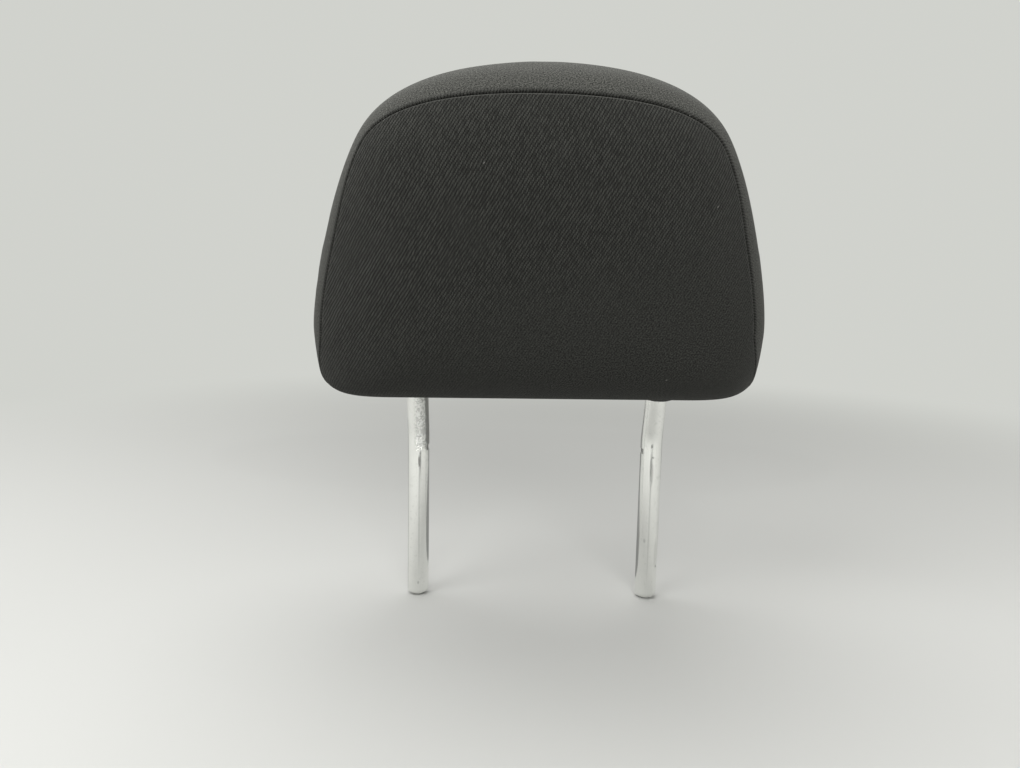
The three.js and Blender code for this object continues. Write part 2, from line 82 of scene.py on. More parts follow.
class HeadrestBar(PropertyGroup):
    """Sizes and finish of the bent post bar"""

    diameter: length("Diameter", "Thickness of the round bar", 0.012)
    post_length: length("Post Length", "Height of the lean bend above the post tips", 0.094)
    lean: angle("Lean", "How far the cushion leans forward from the posts", 17)
    lean_radius: length("Lean Bend Radius", "Radius of the bend below the cushion", 0.038)
    corner_radius: length("Corner Radius", "Radius of the bow's corners in the cushion", 0.028)
    bow_height: length("Bow Height", "Height of the bow above the lean bend", 0.132)
    tip_rounding: length("Tip Rounding", "Radius of the edge at each post tip", 0.0034)
    notch_level: length("Notch Level", "Height of the locking notches above the tips", 0.0865)
    notch_height: length("Notch Height", "Height of each locking notch", 0.003)
    notch_depth: length("Notch Depth", "Depth of each locking notch", 0.0008)
    chrome: colour("Chrome", "Colour of the plated steel", (0.89, 0.895, 0.87))
    # tarnish: also the colour of the painted reflections, the painted shade in the notches and the painted contact
    # shadow at the tips
    tarnish: colour("Tarnish", "Colour of pits and scratches in the plating", (0.20, 0.20, 0.19))


class HeadrestCushion(PropertyGroup):
    """Shape of the padded cushion and its seams, measured square to the legs from the lean bend"""

    width: length("Width", "Width of the cushion at its widest", 0.234)
    bottom: length("Bottom", "Level of the cushion's underside", 0.030)
    height: length("Height", "Height of the cushion", 0.165)
    widest_rise: length("Widest Rise", "Height of the widest place above the underside", 0.037)
    shoulder_inset: length("Shoulder Inset", "Distance of a shoulder from the widest place", 0.0295)
    shoulder_drop: length("Shoulder Drop", "Distance of a shoulder below the crown", 0.031)
    shoulder_slope: angle("Shoulder Slope", "Slope of the outline at a shoulder", 59)
    corner_inset: length("Corner Inset", "Width of each lower corner", 0.037)
    crown_reach: length("Crown Reach", "Fullness of the crown", 0.051)
    shoulder_reach_up: length("Upper Shoulder Reach", "Fullness above a shoulder", 0.022)
    shoulder_reach_down: length("Lower Shoulder Reach", "Fullness below a shoulder", 0.031)
    side_reach_up: length("Upper Side Reach", "Fullness of the sides above the widest place", 0.014)
    side_reach_down: length("Lower Side Reach", "Fullness of the sides below the widest place", 0.033)
    corner_reach: length("Corner Reach", "Fullness of the lower corners", 0.035)
    face_depth: length("Face Depth", "Depth of the face in front of the legs", 0.043)
    back_depth: length("Back Depth", "Depth of the back behind the legs", 0.040)
    face_squareness: share("Face Squareness", "How square the edge of the face is", 3.2, 2.0, 6.0)
    back_squareness: share("Back Squareness", "How square the edge of the back is", 2.8, 2.0, 6.0)
    middle: share("Middle", "Level of the cushion's middle as a share of its height", 0.455)
    seam_crown: share("Seam at Crown", "How far out the seams lie at the crown", 0.88)
    seam_shoulder: share("Seam at Shoulders", "How far out the seams lie at the shoulders", 0.944)
    seam_side: share("Seam at Sides", "How far out the seams lie at the sides", 0.92)
    seam_corner: share("Seam at Corners", "How far out the seams lie above the lower corners", 0.98)
    seam_skew: share("Seam Skew", "How much further left the face seam was sewn", 0.012, -0.1, 0.1)
    band_end: length("Band End", "Height at which the band ends above the underside", 0.010)
    skew: angle("Skew", "Turn of the pulled-over cover about the middle of its underside", 0.54)
    offset: length("Offset", "Distance that the cover sits to the left of the posts", 0.00044)
    roll: length("Seam Roll", "Radius of the rolled edge along a seam", 0.0010)
    seam_gap: length("Seam Gap", "Distance of each rolled edge from the seam line", 0.00018)
    seam_depth: length("Seam Depth", "Depth of the sewn seam below the rolled edges", 0.0022)
    wall: length("Wall", "Thickness of the laminated cloth", 0.0016)
    swell: length("Swell", "Most that the filling lifts or drops the cloth", 0.0004)
    stitch: length("Stitch", "Length of one stitch", 0.0032)
    thread: length("Thread", "Thickness of the sewing thread", 0.0006)


class HeadrestCloth(PropertyGroup):
    """Yarns and weave of the twill cover"""

    yarn: colour("Yarn", "Colour of the charcoal yarn", (0.045, 0.0455, 0.041))
    # raised yarn: the worn crowns of the yarn, painted lighter also as a highlight on the yarns' tops
    raised_yarn: colour("Raised Yarn", "Colour of the worn crowns of the yarn", (0.070, 0.071, 0.064))
    # sunk yarn: painted shade, the near-black colour in the gaps between the yarns
    sunk_yarn: colour("Sunk Yarn", "Colour between the yarns", (0.005, 0.005, 0.0045))
    panel_nap: colour("Panel Nap", "Colour of the nap on the face and the back", (0.062, 0.063, 0.057))
    # band nap: painted light, a far lighter colour than the panels' nap, standing for the light from above and the
    # sheen on the band
    band_nap_painted_lighter: colour("Band Nap", "Colour of the nap on the side band", (0.140, 0.141, 0.127))
    lint: colour("Lint", "Colour of lint and hairs caught in the cloth", (0.50, 0.49, 0.46))
    warp: length("Warp Spacing", "Distance between two warp yarns", 0.000544)
    weft: length("Weft Spacing", "Distance between two weft yarns", 0.000853)
    relief: length("Relief", "Height of the yarns' crowns above the weave", 0.00034)
    pucker: length("Pucker", "Depth of the puckers that the stitches pull beside a seam", 0.00016)
    sheen: share("Sheen", "Strength of the fuzz at grazing angles", 0.14)
    foam: colour("Foam", "Colour of the cushion foam", (0.52, 0.47, 0.30))


class HeadrestTrim(PropertyGroup):
    """Plastic and steel pieces below and inside the cushion"""

    plastic: colour("Trim Plastic", "Colour of the collars and the closing strips", (0.020, 0.020, 0.021))
    core: colour("Core Plastic", "Colour of the moulded core", (0.060, 0.062, 0.065))
    screw: colour("Screw Steel", "Colour of the core screws", (0.55, 0.54, 0.52))


class HeadrestStage(PropertyGroup):
    """Floor, backdrop, lamps and camera"""

    floor: colour("Floor", "Colour of the floor", (0.62, 0.623, 0.60))
    backdrop: colour("Backdrop", "Colour of the even backdrop", (0.635, 0.645, 0.61))
    bounce: share("Bounce", "Share of its colour with which the floor lights the object", 0.30)
    # painted shadow: how much darker the floor and backdrop are painted behind the object
    shade: share("Shade", "How much darker the floor is behind the object", 0.32)
    world: share("World Strength", "Strength of the even light from all round", 0.33, 0.0, 5.0)
    key: FloatProperty(name="Key Light", description="Power of the soft lamp above the left front",
                       default=8.5, min=0.0, subtype="POWER", unit="POWER")
    top: FloatProperty(name="Top Light", description="Power of the soft lamp overhead",
                       default=30.0, min=0.0, subtype="POWER", unit="POWER")
    fill: FloatProperty(name="Fill Light", description="Power of the soft lamp behind the camera",
                        default=18.0, min=0.0, subtype="POWER", unit="POWER")
    # painted reflection: the dark card puts a dark streak into the front of each post, the dim cards put painted shade
    # into the chrome's edges
    dark_card: colour("Dark Card", "Colour of the card that darkens the front of the chrome", (0.02, 0.02, 0.02))
    dim_card: colour("Dim Cards", "Colour of the cards that shade the edges of the chrome", (0.22, 0.22, 0.215))


SETTINGS = {
    "headrest_bar": HeadrestBar,
    "headrest_cushion": HeadrestCushion,
    "headrest_cloth": HeadrestCloth,
    "headrest_trim": HeadrestTrim,
    "headrest_stage": HeadrestStage,
}


# Materials

class Material:
    """A node material under construction, with short ways to add and join its nodes."""

    def __init__(self, name):
        self.data = bpy.data.materials.new(name)
        self.data.use_nodes = True
        self.tree = self.data.node_tree
        self.tree.nodes.clear()
        self.output = self.add("ShaderNodeOutputMaterial")
        self.shader = self.add("ShaderNodeBsdfPrincipled")
        self.join(self.shader.outputs["BSDF"], self.output.inputs["Surface"])

    def add(self, kind, **values):
        node = self.tree.nodes.new(kind)
        for key, value in values.items():
            setattr(node, key, value)
        return node

    def join(self, source, target):
        """Links a socket, or sets a number or a colour."""
        if isinstance(source, bpy.types.NodeSocket):
            self.tree.links.new(source, target)
        else:
            target.default_value = source if isinstance(source, (int, float)) else tuple(source)

    def math(self, operation, *values):
        node = self.add("ShaderNodeMath", operation=operation)
        for value, socket in zip(values, node.inputs):
            self.join(value, socket)
        return node.outputs[0]

    def ramp(self, value, low, high, to_low=0.0, to_high=1.0):
        node = self.add("ShaderNodeMapRange", interpolation_type="SMOOTHSTEP")
        for source, socket in zip((value, low, high, to_low, to_high), node.inputs):
            self.join(source, socket)
        return node.outputs["Result"]

    def mix(self, factor, first, second):
        node = self.add("ShaderNodeMix", data_type="RGBA")
        self.join(factor, node.inputs["Factor"])
        self.join(rgba(first), node.inputs["A"])
        self.join(rgba(second), node.inputs["B"])
        return node.outputs["Result"]

    def split(self, vector):
        node = self.add("ShaderNodeSeparateXYZ")
        self.join(vector, node.inputs[0])
        return tuple(node.outputs)

    def crown(self, value, radius):
        """Round arch over a value that runs from 0 to twice the radius."""
        out = self.math("SUBTRACT", self.math("DIVIDE", value, radius), 1.0)
        return self.math("SQRT", self.math("MAXIMUM", self.math("SUBTRACT", 1.0, self.math("MULTIPLY", out, out)), 0.0))

    def spot(self, x, z, middle, half_width, half_height, soft=0.35):
        """Soft-edged oval mark: 1 inside and 0 outside."""
        dx = self.math("DIVIDE", self.math("SUBTRACT", x, middle[0]), half_width)
        dz = self.math("DIVIDE", self.math("SUBTRACT", z, middle[1]), half_height)
        away = self.math("SQRT", self.math("ADD", self.math("MULTIPLY", dx, dx), self.math("MULTIPLY", dz, dz)))
        return self.ramp(away, 1 - soft, 1 + soft, 1.0, 0.0)

    def seen(self):
        """1 for the camera and for reflections, 0 for the light that falls on the object."""
        path = self.add("ShaderNodeLightPath").outputs
        rays = self.math("MAXIMUM", path["Is Camera Ray"], path["Is Glossy Ray"])
        return self.math("MAXIMUM", rays, path["Is Transmission Ray"])

    def noise(self, vector, scale, detail=2.0, roughness=0.5):
        node = self.add("ShaderNodeTexNoise")
        self.join(vector, node.inputs["Vector"])
        self.join(scale, node.inputs["Scale"])
        self.join(detail, node.inputs["Detail"])
        self.join(roughness, node.inputs["Roughness"])
        return node.outputs["Fac"]

    def bump(self, height, distance, strength=1.0):
        node = self.add("ShaderNodeBump")
        self.join(strength, node.inputs["Strength"])
        self.join(distance, node.inputs["Distance"])
        self.join(height, node.inputs["Height"])
        self.join(node.outputs["Normal"], self.shader.inputs["Normal"])

    def set(self, **values):
        for key, value in values.items():
            self.join(rgba(value), self.shader.inputs[key.replace("_", " ")])


def rgba(value):
    """A colour of three numbers with its alpha; anything else as it is."""
    is_colour = not isinstance(value, (int, float, bpy.types.NodeSocket)) and len(value) == 3
    return (*value, 1.0) if is_colour else value


def twill_material(name, cloth, stitch, nap_tint, least_nap, lip_highlight):
    """Charcoal 2/1 twill: warp floats that step up one weft at each warp, under a nap that half hides them, with
    painted shade between the yarns and a painted highlight along the seam lips.
    """
    made = Material(name)
    place = made.add("ShaderNodeUVMap", uv_map="cloth").outputs["UV"]
    wander = made.add("ShaderNodeVectorMath", operation="MULTIPLY_ADD")
    drift = made.add("ShaderNodeTexNoise")
    made.join(place, drift.inputs["Vector"])
    made.join(120.0, drift.inputs["Scale"])
    made.join(drift.outputs["Color"], wander.inputs[0])
    made.join((0.0010, 0.0010, 0.0), wander.inputs[1])
    made.join(place, wander.inputs[2])
    u, v = made.split(wander.outputs[0])[:2]
    seam = made.add("ShaderNodeUVMap", uv_map="seam").outputs["UV"]
    walked, away = made.split(seam)[:2]
    across = made.math("DIVIDE", u, cloth.warp)
    along = made.math("DIVIDE", v, cloth.weft)
    warp = made.math("FLOOR", across)
    run = made.math("FLOORED_MODULO", made.math("SUBTRACT", along, warp), 3.0)
    is_float = made.math("LESS_THAN", run, 2.0)
    warp_crown = made.crown(made.math("FRACT", across), 0.5)
    float_crown = made.crown(run, 1.0)
    weft_crown = made.crown(made.math("FRACT", along), 0.5)
    raised = made.math("MULTIPLY", warp_crown, made.math("MULTIPLY_ADD", float_crown, 0.7, 0.3))
    sunk = made.math("MULTIPLY", weft_crown, 0.3)
    weave = made.math("ADD", made.math("MULTIPLY", raised, is_float),
                      made.math("MULTIPLY", sunk, made.math("SUBTRACT", 1.0, is_float)))
    pick = made.math("FLOOR", made.math("DIVIDE", made.math("SUBTRACT", along, warp), 3.0))
    cell = made.add("ShaderNodeCombineXYZ")
    made.join(warp, cell.inputs["X"])
    made.join(pick, cell.inputs["Y"])
    chance = made.add("ShaderNodeTexWhiteNoise", noise_dimensions="2D")
    made.join(cell.outputs[0], chance.inputs["Vector"])
    uneven = made.noise(place, 1500.0, 2.0, 0.6)
    patchy = made.noise(place, 26.0, 3.0, 0.55)
    tone = made.math("MULTIPLY_ADD", chance.outputs["Value"], 0.55, made.math("MULTIPLY", uneven, 1.1))
    floats = made.mix(made.ramp(tone, 0.4, 1.2), tuple(0.7 * c for c in cloth.yarn), cloth.raised_yarn)
    # the weave's gaps take the sunk yarn colour as painted shade, its crowns the lighter float colour as wear and
    # painted highlight
    shown = made.mix(made.ramp(weave, 0.15, 0.62), cloth.sunk_yarn, floats)
    lower = made.math("SUBTRACT", made.math("MULTIPLY", u, 0.5), made.math("MULTIPLY", v, 1.2))
    broad = made.math("MULTIPLY_ADD", made.noise(place, 14.0, 2.0), 0.08, lower)
    nap = made.math("MAXIMUM", made.ramp(broad, 0.0, 0.13, least_nap, 0.85), made.ramp(patchy, 0.5, 0.75, 0.0, 0.6))
    nap = made.math("MULTIPLY", nap, made.ramp(away, 0.0006, 0.0030, 0.15, 1.0))
    fuzz = made.ramp(made.noise(place, 1300.0, 3.0, 0.85), 0.38, 0.64)
    fuzzy = made.mix(fuzz, tuple(0.2 * c for c in cloth.yarn), nap_tint)
    shown = made.mix(nap, shown, fuzzy)
    # painted highlight: a pale line along the rolled lip beside the seams, its strength given by the last argument
    edge = made.math("MULTIPLY", made.ramp(away, 0.0001, 0.0004), made.ramp(away, 0.0006, 0.0012, lip_highlight, 0.0))
    shown = made.mix(edge, shown, tuple(1.6 * c for c in cloth.raised_yarn))
    made.set(Base_Color=shown, Roughness=0.92, Specular_IOR_Level=0.12, Sheen_Weight=cloth.sheen,
             Sheen_Roughness=0.45, Sheen_Tint=(0.80, 0.80, 0.76))
    wave = made.math("PINGPONG", made.math("DIVIDE", walked, stitch), 0.5)
    pull = made.ramp(made.noise(seam, 160.0, 2.0), 0.35, 0.65)
    pucker = made.math("MULTIPLY", made.math("MULTIPLY", made.ramp(wave, 0.0, 0.5), pull),
                       made.ramp(away, 0.0002, 0.0035, 1.0, 0.0))
    shown_weave = made.math("MULTIPLY", weave, made.math("SUBTRACT", 1.0, made.math("MULTIPLY", nap, 0.8)))
    height = made.math("MULTIPLY", made.math("MULTIPLY_ADD", uneven, 0.5, shown_weave), cloth.relief)
    made.bump(made.math("MULTIPLY_ADD", pucker, cloth.pucker, height), 1.0)
    return made.data


# Marks on the front of the posts: x and z of the middle, half width, half height, strength. Some are painted
# reflections, as marked below.
POST_MARKS = (
    (-0.0628, 0.0960, 0.0014, 0.0022, 0.35),
    (-0.0652, 0.0885, 0.0012, 0.0012, 0.35),
    (-0.0662, 0.0935, 0.0004, 0.0005, 0.50),
    (-0.0653, 0.0080, 0.0005, 0.0009, 0.45),
    (0.0660, 0.0836, 0.0006, 0.0006, 0.60),
    (0.0634, 0.0350, 0.0006, 0.0012, 0.30),
    (0.0702, 0.0275, 0.0010, 0.0080, 0.18),
    (0.0708, 0.0195, 0.0005, 0.0007, 0.65),
    (-0.0650, 0.0500, 0.0005, 0.0300, 0.22),
    (0.0656, 0.0450, 0.0005, 0.0300, 0.18),
    # painted reflection: a dark line down the left edge of the left post
    (-0.0716, 0.0420, 0.0004, 0.0450, 0.45),
    # painted reflection: the dark streak on the front of the left post, mirrored from in front
    (-0.0651, 0.0790, 0.0005, 0.0034, 0.85),
    # painted reflection: the grey streak on the front of the right post, mirrored from in front
    (0.0661, 0.0740, 0.0006, 0.0060, 0.35),
)


def chrome_material(bar):
    """Worn chrome plating: bright, drawn along the post, wrinkled and pitted above the locking notches, with painted
    reflections on the front and edges, painted shade in the notches and a painted contact shadow at the tips.
    """
    made = Material("worn_chrome")
    place = made.add("ShaderNodeTexCoord").outputs["Object"]
    x, y, z = made.split(place)
    front = made.ramp(y, -0.0025, 0.0, 1.0, 0.0)
    uneven = made.noise(place, 420.0, 2.0)
    above = made.ramp(made.math("MULTIPLY_ADD", uneven, 0.006, z), 0.0865, 0.0925)
    edge = made.math("MULTIPLY_ADD", uneven, 0.0016, x)
    left = made.ramp(x, 0.0, 0.001, 1.0, 0.0)
    worn = made.math("MULTIPLY", made.math("MULTIPLY", above, left), made.ramp(y, 0.0, 0.0025, 1.0, 0.0))
    wrinkled = made.math("MULTIPLY", worn, made.ramp(edge, -0.0682, -0.0640))
    # worn strip along the inner edge of the left post above its notch, darkened further as a painted reflection of the
    # shade under the cushion
    rubbed_and_reflected_shade = made.math("MULTIPLY", worn, made.ramp(edge, -0.0612, -0.0604))
    beads = made.math("MULTIPLY", made.spot(x, z, (0.0722, 0.0915), 0.0009, 0.0075, 0.2),
                      made.ramp(made.noise(place, 900.0, 1.0), 0.48, 0.56))
    wrinkles = made.noise(place, 950.0, 3.0, 0.6)
    pits = made.ramp(made.noise(place, 520.0, 1.0), 0.64, 0.70)
    stretched = made.add("ShaderNodeMapping")
    made.join(place, stretched.inputs["Vector"])
    stretched.inputs["Scale"].default_value = (2400.0, 2400.0, 14.0)
    scratches = made.noise(stretched.outputs[0], 1.0, 3.0, 0.7)
    grime = made.noise(place, 160.0, 3.0, 0.6)
    marks = made.math("MULTIPLY", pits, made.math("MULTIPLY_ADD", wrinkled, 0.40, 0.12))
    for mark_x, mark_z, half_width, half_height, strength in POST_MARKS:
        mark = made.spot(x, z, (mark_x, mark_z), half_width, half_height)
        marks = made.math("MAXIMUM", marks, made.math("MULTIPLY", made.math("MULTIPLY", mark, front), strength))
    marks = made.math("MAXIMUM", marks, made.math("MULTIPLY", made.math("MULTIPLY", beads, front), 0.6))
    marks = made.math("MAXIMUM", marks, made.math("MULTIPLY", rubbed_and_reflected_shade, 0.8))
    hollows = made.math("MULTIPLY", made.ramp(wrinkles, 0.54, 0.44), wrinkled)
    marks = made.math("MAXIMUM", marks, made.math("MULTIPLY", hollows, 0.4))
    # painted shade in the locking notches, stronger on the left post
    level = made.math("ABSOLUTE", made.math("SUBTRACT", z, bar.notch_level))
    in_notch = made.math("LESS_THAN", level, 0.52 * bar.notch_height)
    inward = made.ramp(made.math("ABSOLUTE", x), 0.0613, 0.0609)
    marks = made.math("MAXIMUM", marks, made.math("MULTIPLY", made.math("MULTIPLY", in_notch, inward),
                                                  made.math("MULTIPLY_ADD", left, 0.4, 0.5)))
    # painted contact shadow: the bottom rim of each tip darkened within 1.5 mm of the floor
    marks = made.math("MAXIMUM", marks, made.ramp(z, 0.0005, 0.0015, 0.85, 0.0))
    base = made.mix(made.math("MULTIPLY", made.ramp(grime, 0.45, 0.8), 0.35), bar.chrome,
                    tuple(0.85 * c for c in bar.chrome))
    drawn = made.mix(made.math("MULTIPLY", made.ramp(scratches, 0.55, 0.75), 0.18), base, bar.tarnish)
    made.set(Base_Color=made.mix(marks, drawn, bar.tarnish), Metallic=1.0)
    rough = made.math("MULTIPLY_ADD", made.ramp(scratches, 0.4, 0.8), 0.10, 0.15)
    made.set(Roughness=made.math("MULTIPLY_ADD", made.math("MAXIMUM", wrinkled, marks), 0.16, rough))
    height = made.math("MULTIPLY_ADD", made.math("MULTIPLY", made.math("SUBTRACT", wrinkles, 0.5), wrinkled), 0.0009,
                       made.math("MULTIPLY", scratches, 0.000006))
    made.bump(height, 1.0)
    return made.data


def plastic_material(name, tint, grain=1400.0):
    """Moulded plastic with a fine leathery grain."""
    made = Material(name)
    place = made.add("ShaderNodeTexCoord").outputs["Object"]
    grains = made.noise(place, grain, 3.0, 0.6)
    broad = made.noise(place, 60.0, 3.0)
    made.set(Base_Color=made.mix(made.ramp(broad, 0.3, 0.7), tint, tuple(1.35 * c for c in tint)),
             Roughness=made.ramp(grains, 0.3, 0.7, 0.42, 0.60))
    made.bump(grains, 0.00008, 0.5)
    return made.data


def foam_material(cloth):
    """Open-cell foam, yellowed unevenly."""
    made = Material("cushion_foam")
    place = made.add("ShaderNodeTexCoord").outputs["Object"]
    cells = made.add("ShaderNodeTexVoronoi")
    made.join(place, cells.inputs["Vector"])
    made.join(1100.0, cells.inputs["Scale"])
    cell = cells.outputs["Distance"]
    aged = made.noise(place, 18.0, 3.0)
    tint = made.mix(made.ramp(aged, 0.3, 0.7), cloth.foam, tuple(0.75 * c for c in cloth.foam))
    # painted shade: the middles of the foam's open cells darkened
    made.set(Base_Color=made.mix(made.ramp(cell, 0.0, 0.5, 0.5, 0.0), tint, (0.16, 0.13, 0.07)),
             Roughness=0.95, Specular_IOR_Level=0.1)
    made.bump(cell, 0.0004, 0.7)
    return made.data


def steel_material(trim):
    """Turned screw steel."""
    made = Material("screw_steel")
    place = made.add("ShaderNodeTexCoord").outputs["Object"]
    streaks = made.noise(place, 2200.0, 2.0)
    made.set(Base_Color=made.mix(streaks, trim.screw, tuple(0.7 * c for c in trim.screw)), Metallic=1.0,
             Roughness=made.ramp(streaks, 0.3, 0.7, 0.28, 0.45))
    made.bump(streaks, 0.00004, 0.5)
    return made.data


def thread_material(cloth):
    """Black sewing thread with its twist."""
    made = Material("sewing_thread")
    place = made.add("ShaderNodeTexCoord").outputs["Object"]
    twist = made.noise(place, 3200.0, 1.0)
    made.set(Base_Color=made.mix(twist, cloth.sunk_yarn, cloth.yarn), Roughness=0.7)
    made.bump(twist, 0.0001, 0.6)
    return made.data


def lint_material(cloth):
    """Pale lint and short hairs."""
    made = Material("lint")
    place = made.add("ShaderNodeTexCoord").outputs["Object"]
    uneven = made.noise(place, 700.0, 2.0)
    made.set(Base_Color=made.mix(uneven, tuple(0.5 * c for c in cloth.lint), cloth.lint), Roughness=0.8)
    return made.data


def floor_material(stage):
    """Pale floor that fades into the even backdrop, with a soft painted shadow behind the object; only a share of its
    colour lights the object.
    """
    made = Material("pale_floor")
    seen = made.seen()
    x, y, _ = made.split(made.add("ShaderNodeTexCoord").outputs["Object"])
    # painted shadow: a soft darker oval on the floor and backdrop behind the object
    shade = made.spot(x, y, (0.05, 0.44), 0.45, 0.44, 0.75)
    lighting = tuple(stage.bounce * c for c in stage.floor)
    darker = [tuple((1 - stage.shade) * c for c in tint) for tint in (stage.floor, stage.backdrop)]
    shown = made.mix(shade, tuple(stage.floor), darker[0])
    made.set(Base_Color=made.mix(seen, lighting, shown), Roughness=0.85, Specular_IOR_Level=0.1)
    backdrop = made.add("ShaderNodeEmission")
    made.join(made.mix(shade, tuple(stage.backdrop), darker[1]),
              backdrop.inputs["Color"])
    away = made.math("SQRT", made.math("MULTIPLY_ADD", x, x, made.math("MULTIPLY", y, y)))
    far = made.ramp(away, 0.30, 1.1)
    blend = made.add("ShaderNodeMixShader")
    made.join(made.math("MULTIPLY", far, seen), blend.inputs[0])
    made.join(made.shader.outputs["BSDF"], blend.inputs[1])
    made.join(backdrop.outputs[0], blend.inputs[2])
    made.join(blend.outputs[0], made.output.inputs["Surface"])
    return made.data


# Placing of finished pieces

def finish_piece(name, mesh, material, slot, *nodes):
    """Links a finished mesh as a named piece that rides on the one body and stands for its CAD nodes."""
    piece = bpy.data.objects.new(name, mesh)
    bpy.context.scene.collection.objects.link(piece)
    mesh.materials.clear()
    mesh.materials.append(material)
    mesh.polygons.foreach_set("use_smooth", [True] * len(mesh.polygons))
    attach(piece, "root")
    if nodes:
        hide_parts(*nodes)
    return piece


def mesh_of(bm, name):
    mesh = bpy.data.meshes.new(name)
    bm.to_mesh(mesh)
    bm.free()
    return mesh


def dress_node(name, material):
    """Gives a CAD node its material."""
    node = NODES[name]
    node.data.materials.clear()
    node.data.materials.append(material)


def applied(piece):
    """The piece's mesh with its modifiers applied."""
    graph = bpy.context.evaluated_depsgraph_get()
    return bpy.data.meshes.new_from_object(piece.evaluated_get(graph), depsgraph=graph)


def with_modifiers(mesh, *modifiers):
    """The mesh after a row of modifiers, each given as its kind and its values."""
    holder = bpy.data.objects.new("modifier_holder", mesh)
    bpy.context.scene.collection.objects.link(holder)
    for kind, values in modifiers:
        modifier = holder.modifiers.new(kind.title(), kind)
        for key, value in values.items():
            setattr(modifier, key, value)
    made = applied(holder)
    bpy.data.objects.remove(holder)
    return made


# Cushion form

class CushionForm:
    """Padded form of the cushion: an outline that swells to a face and a back."""

    def __init__(self, cushion, stations):
        self.cushion = cushion
        self.stations = stations
        self.top = cushion.bottom + cushion.height
        self.middle = cushion.bottom + cushion.height * cushion.middle
        self.rim = self.even_outline()
        polar = [(p.x, p.y - self.middle) for p in self.rim]
        self.rays = np.array(polar)
        self.reach = np.hypot(*self.rays.T)
        self.step = (self.rim[1] - self.rim[0]).length
        self.heading = np.unwrap(np.arctan2(self.rays[:, 0], self.rays[:, 1]))

    def even_outline(self):
        """Evenly spaced points round the outline, clockwise from the middle of the crown."""
        c = self.cushion
        half = c.width / 2
        shoulder = Vector((half - c.shoulder_inset, self.top - c.shoulder_drop))
        along = Vector((math.cos(c.shoulder_slope), -math.sin(c.shoulder_slope)))
        widest = Vector((half, c.bottom + c.widest_rise))
        flat = Vector((half - c.corner_inset, c.bottom))
        curves = [
            (Vector((0, self.top)), Vector((c.crown_reach, self.top)), shoulder - along * c.shoulder_reach_up, shoulder),
            (shoulder, shoulder + along * c.shoulder_reach_down, widest + Vector((0, c.side_reach_up)), widest),
            (widest, widest - Vector((0, c.side_reach_down)), flat + Vector((c.corner_reach, 0)), flat),
        ]
        line = [point for curve in curves for point in interpolate_bezier(*curve, 120)[:-1]]
        line += [flat, Vector((0, c.bottom))]
        steps = np.cumsum([0] + [(b - a).length for a, b in zip(line, line[1:])])
        wanted = np.linspace(0, steps[-1], self.stations // 2 + 1)
        xs = np.interp(wanted, steps, [p.x for p in line])
        ys = np.interp(wanted, steps, [p.y for p in line])
        right = [Vector((x, y)) for x, y in zip(xs, ys)]
        return right + [Vector((-p.x, p.y)) for p in right[-2:0:-1]]

    def side(self, way):
        """Depth and squareness of the face (way -1) or the back (way 1)."""
        c = self.cushion
        return (c.face_depth, c.face_squareness) if way < 0 else (c.back_depth, c.back_squareness)

    def point(self, station, way, turn):
        """Point of the surface on a station's ray, 90 degrees in the middle of a side and 0 at the rim."""
        depth, squareness = self.side(way)
        power = 2 / squareness
        ray = self.rays[station % self.stations]
        out = math.cos(turn) ** power
        return Vector((ray[0] * out, way * depth * math.sin(turn) ** power, self.middle + ray[1] * out))

    def seam_turn(self, station, way):
        """Turn at which the seam of a side crosses a station's ray."""
        c = self.cushion
        depth, squareness = self.side(way)
        rim = self.rim[station % self.stations]
        shoulder = self.top - c.shoulder_drop
        waist = c.bottom + c.height / 2
        reach = c.seam_side
        if rim.y > shoulder:
            rise = math.sin(math.pi / 2 * (self.top - rim.y) / c.shoulder_drop)
            reach = c.seam_crown + (c.seam_shoulder - c.seam_crown) * rise
        elif rim.y > waist:
            t = (rim.y - waist) / (shoulder - waist)
            reach = c.seam_side + (c.seam_shoulder - c.seam_side) * t * t * (3 - 2 * t)
        elif rim.y < c.bottom + c.widest_rise:
            t = min(1, (c.bottom + c.widest_rise - rim.y) / (c.widest_rise - c.band_end))
            reach = c.seam_side + (c.seam_corner - c.seam_side) * t
        if way < 0:
            upper = min(1, max(0, (rim.y - c.bottom) / c.widest_rise))
            reach -= c.seam_skew * upper * rim.x / (c.width / 2)
        seam = depth * (1 - min(reach, 0.999) ** squareness) ** (1 / squareness)
        seam *= min(1, max(0, (rim.y - c.bottom) / c.band_end))
        return math.asin((max(seam, 0.0005) / depth) ** (squareness / 2))

    def surface(self, x, level, way):
        """Point of the surface above a place in the plane of the legs."""
        depth, squareness = self.side(way)
        across, up = x, level - self.middle
        heading = math.atan2(across, up)
        turns = self.heading
        place = np.interp(heading if heading >= turns[0] else heading + 2 * math.pi, turns, self.reach, period=2 * math.pi)
        out = min(1.0, math.hypot(across, up) / place)
        return Vector((x, way * depth * (1 - out ** squareness) ** (1 / squareness), level))

    def band_stations(self):
        """Stations that the band covers, from the left lower corner over the crown to the right one."""
        low = self.cushion.bottom + 0.0015
        reach = next(i for i, p in enumerate(self.rim) if p.y < low)
        return range(-reach, reach + 1)


def seam_rows(form, station, way, distances):
    """Turns on a station's ray at the given distances from a rolled edge, towards the middle of a side."""
    start = form.seam_turn(station, way)
    turns = np.linspace(start, start + 0.9, 60)
    points = [form.point(station, way, t) for t in turns]
    walked = np.cumsum([0] + [(b - a).length for a, b in zip(points, points[1:])])
    return [float(np.interp(form.cushion.seam_gap + d, walked, turns)) for d in distances]


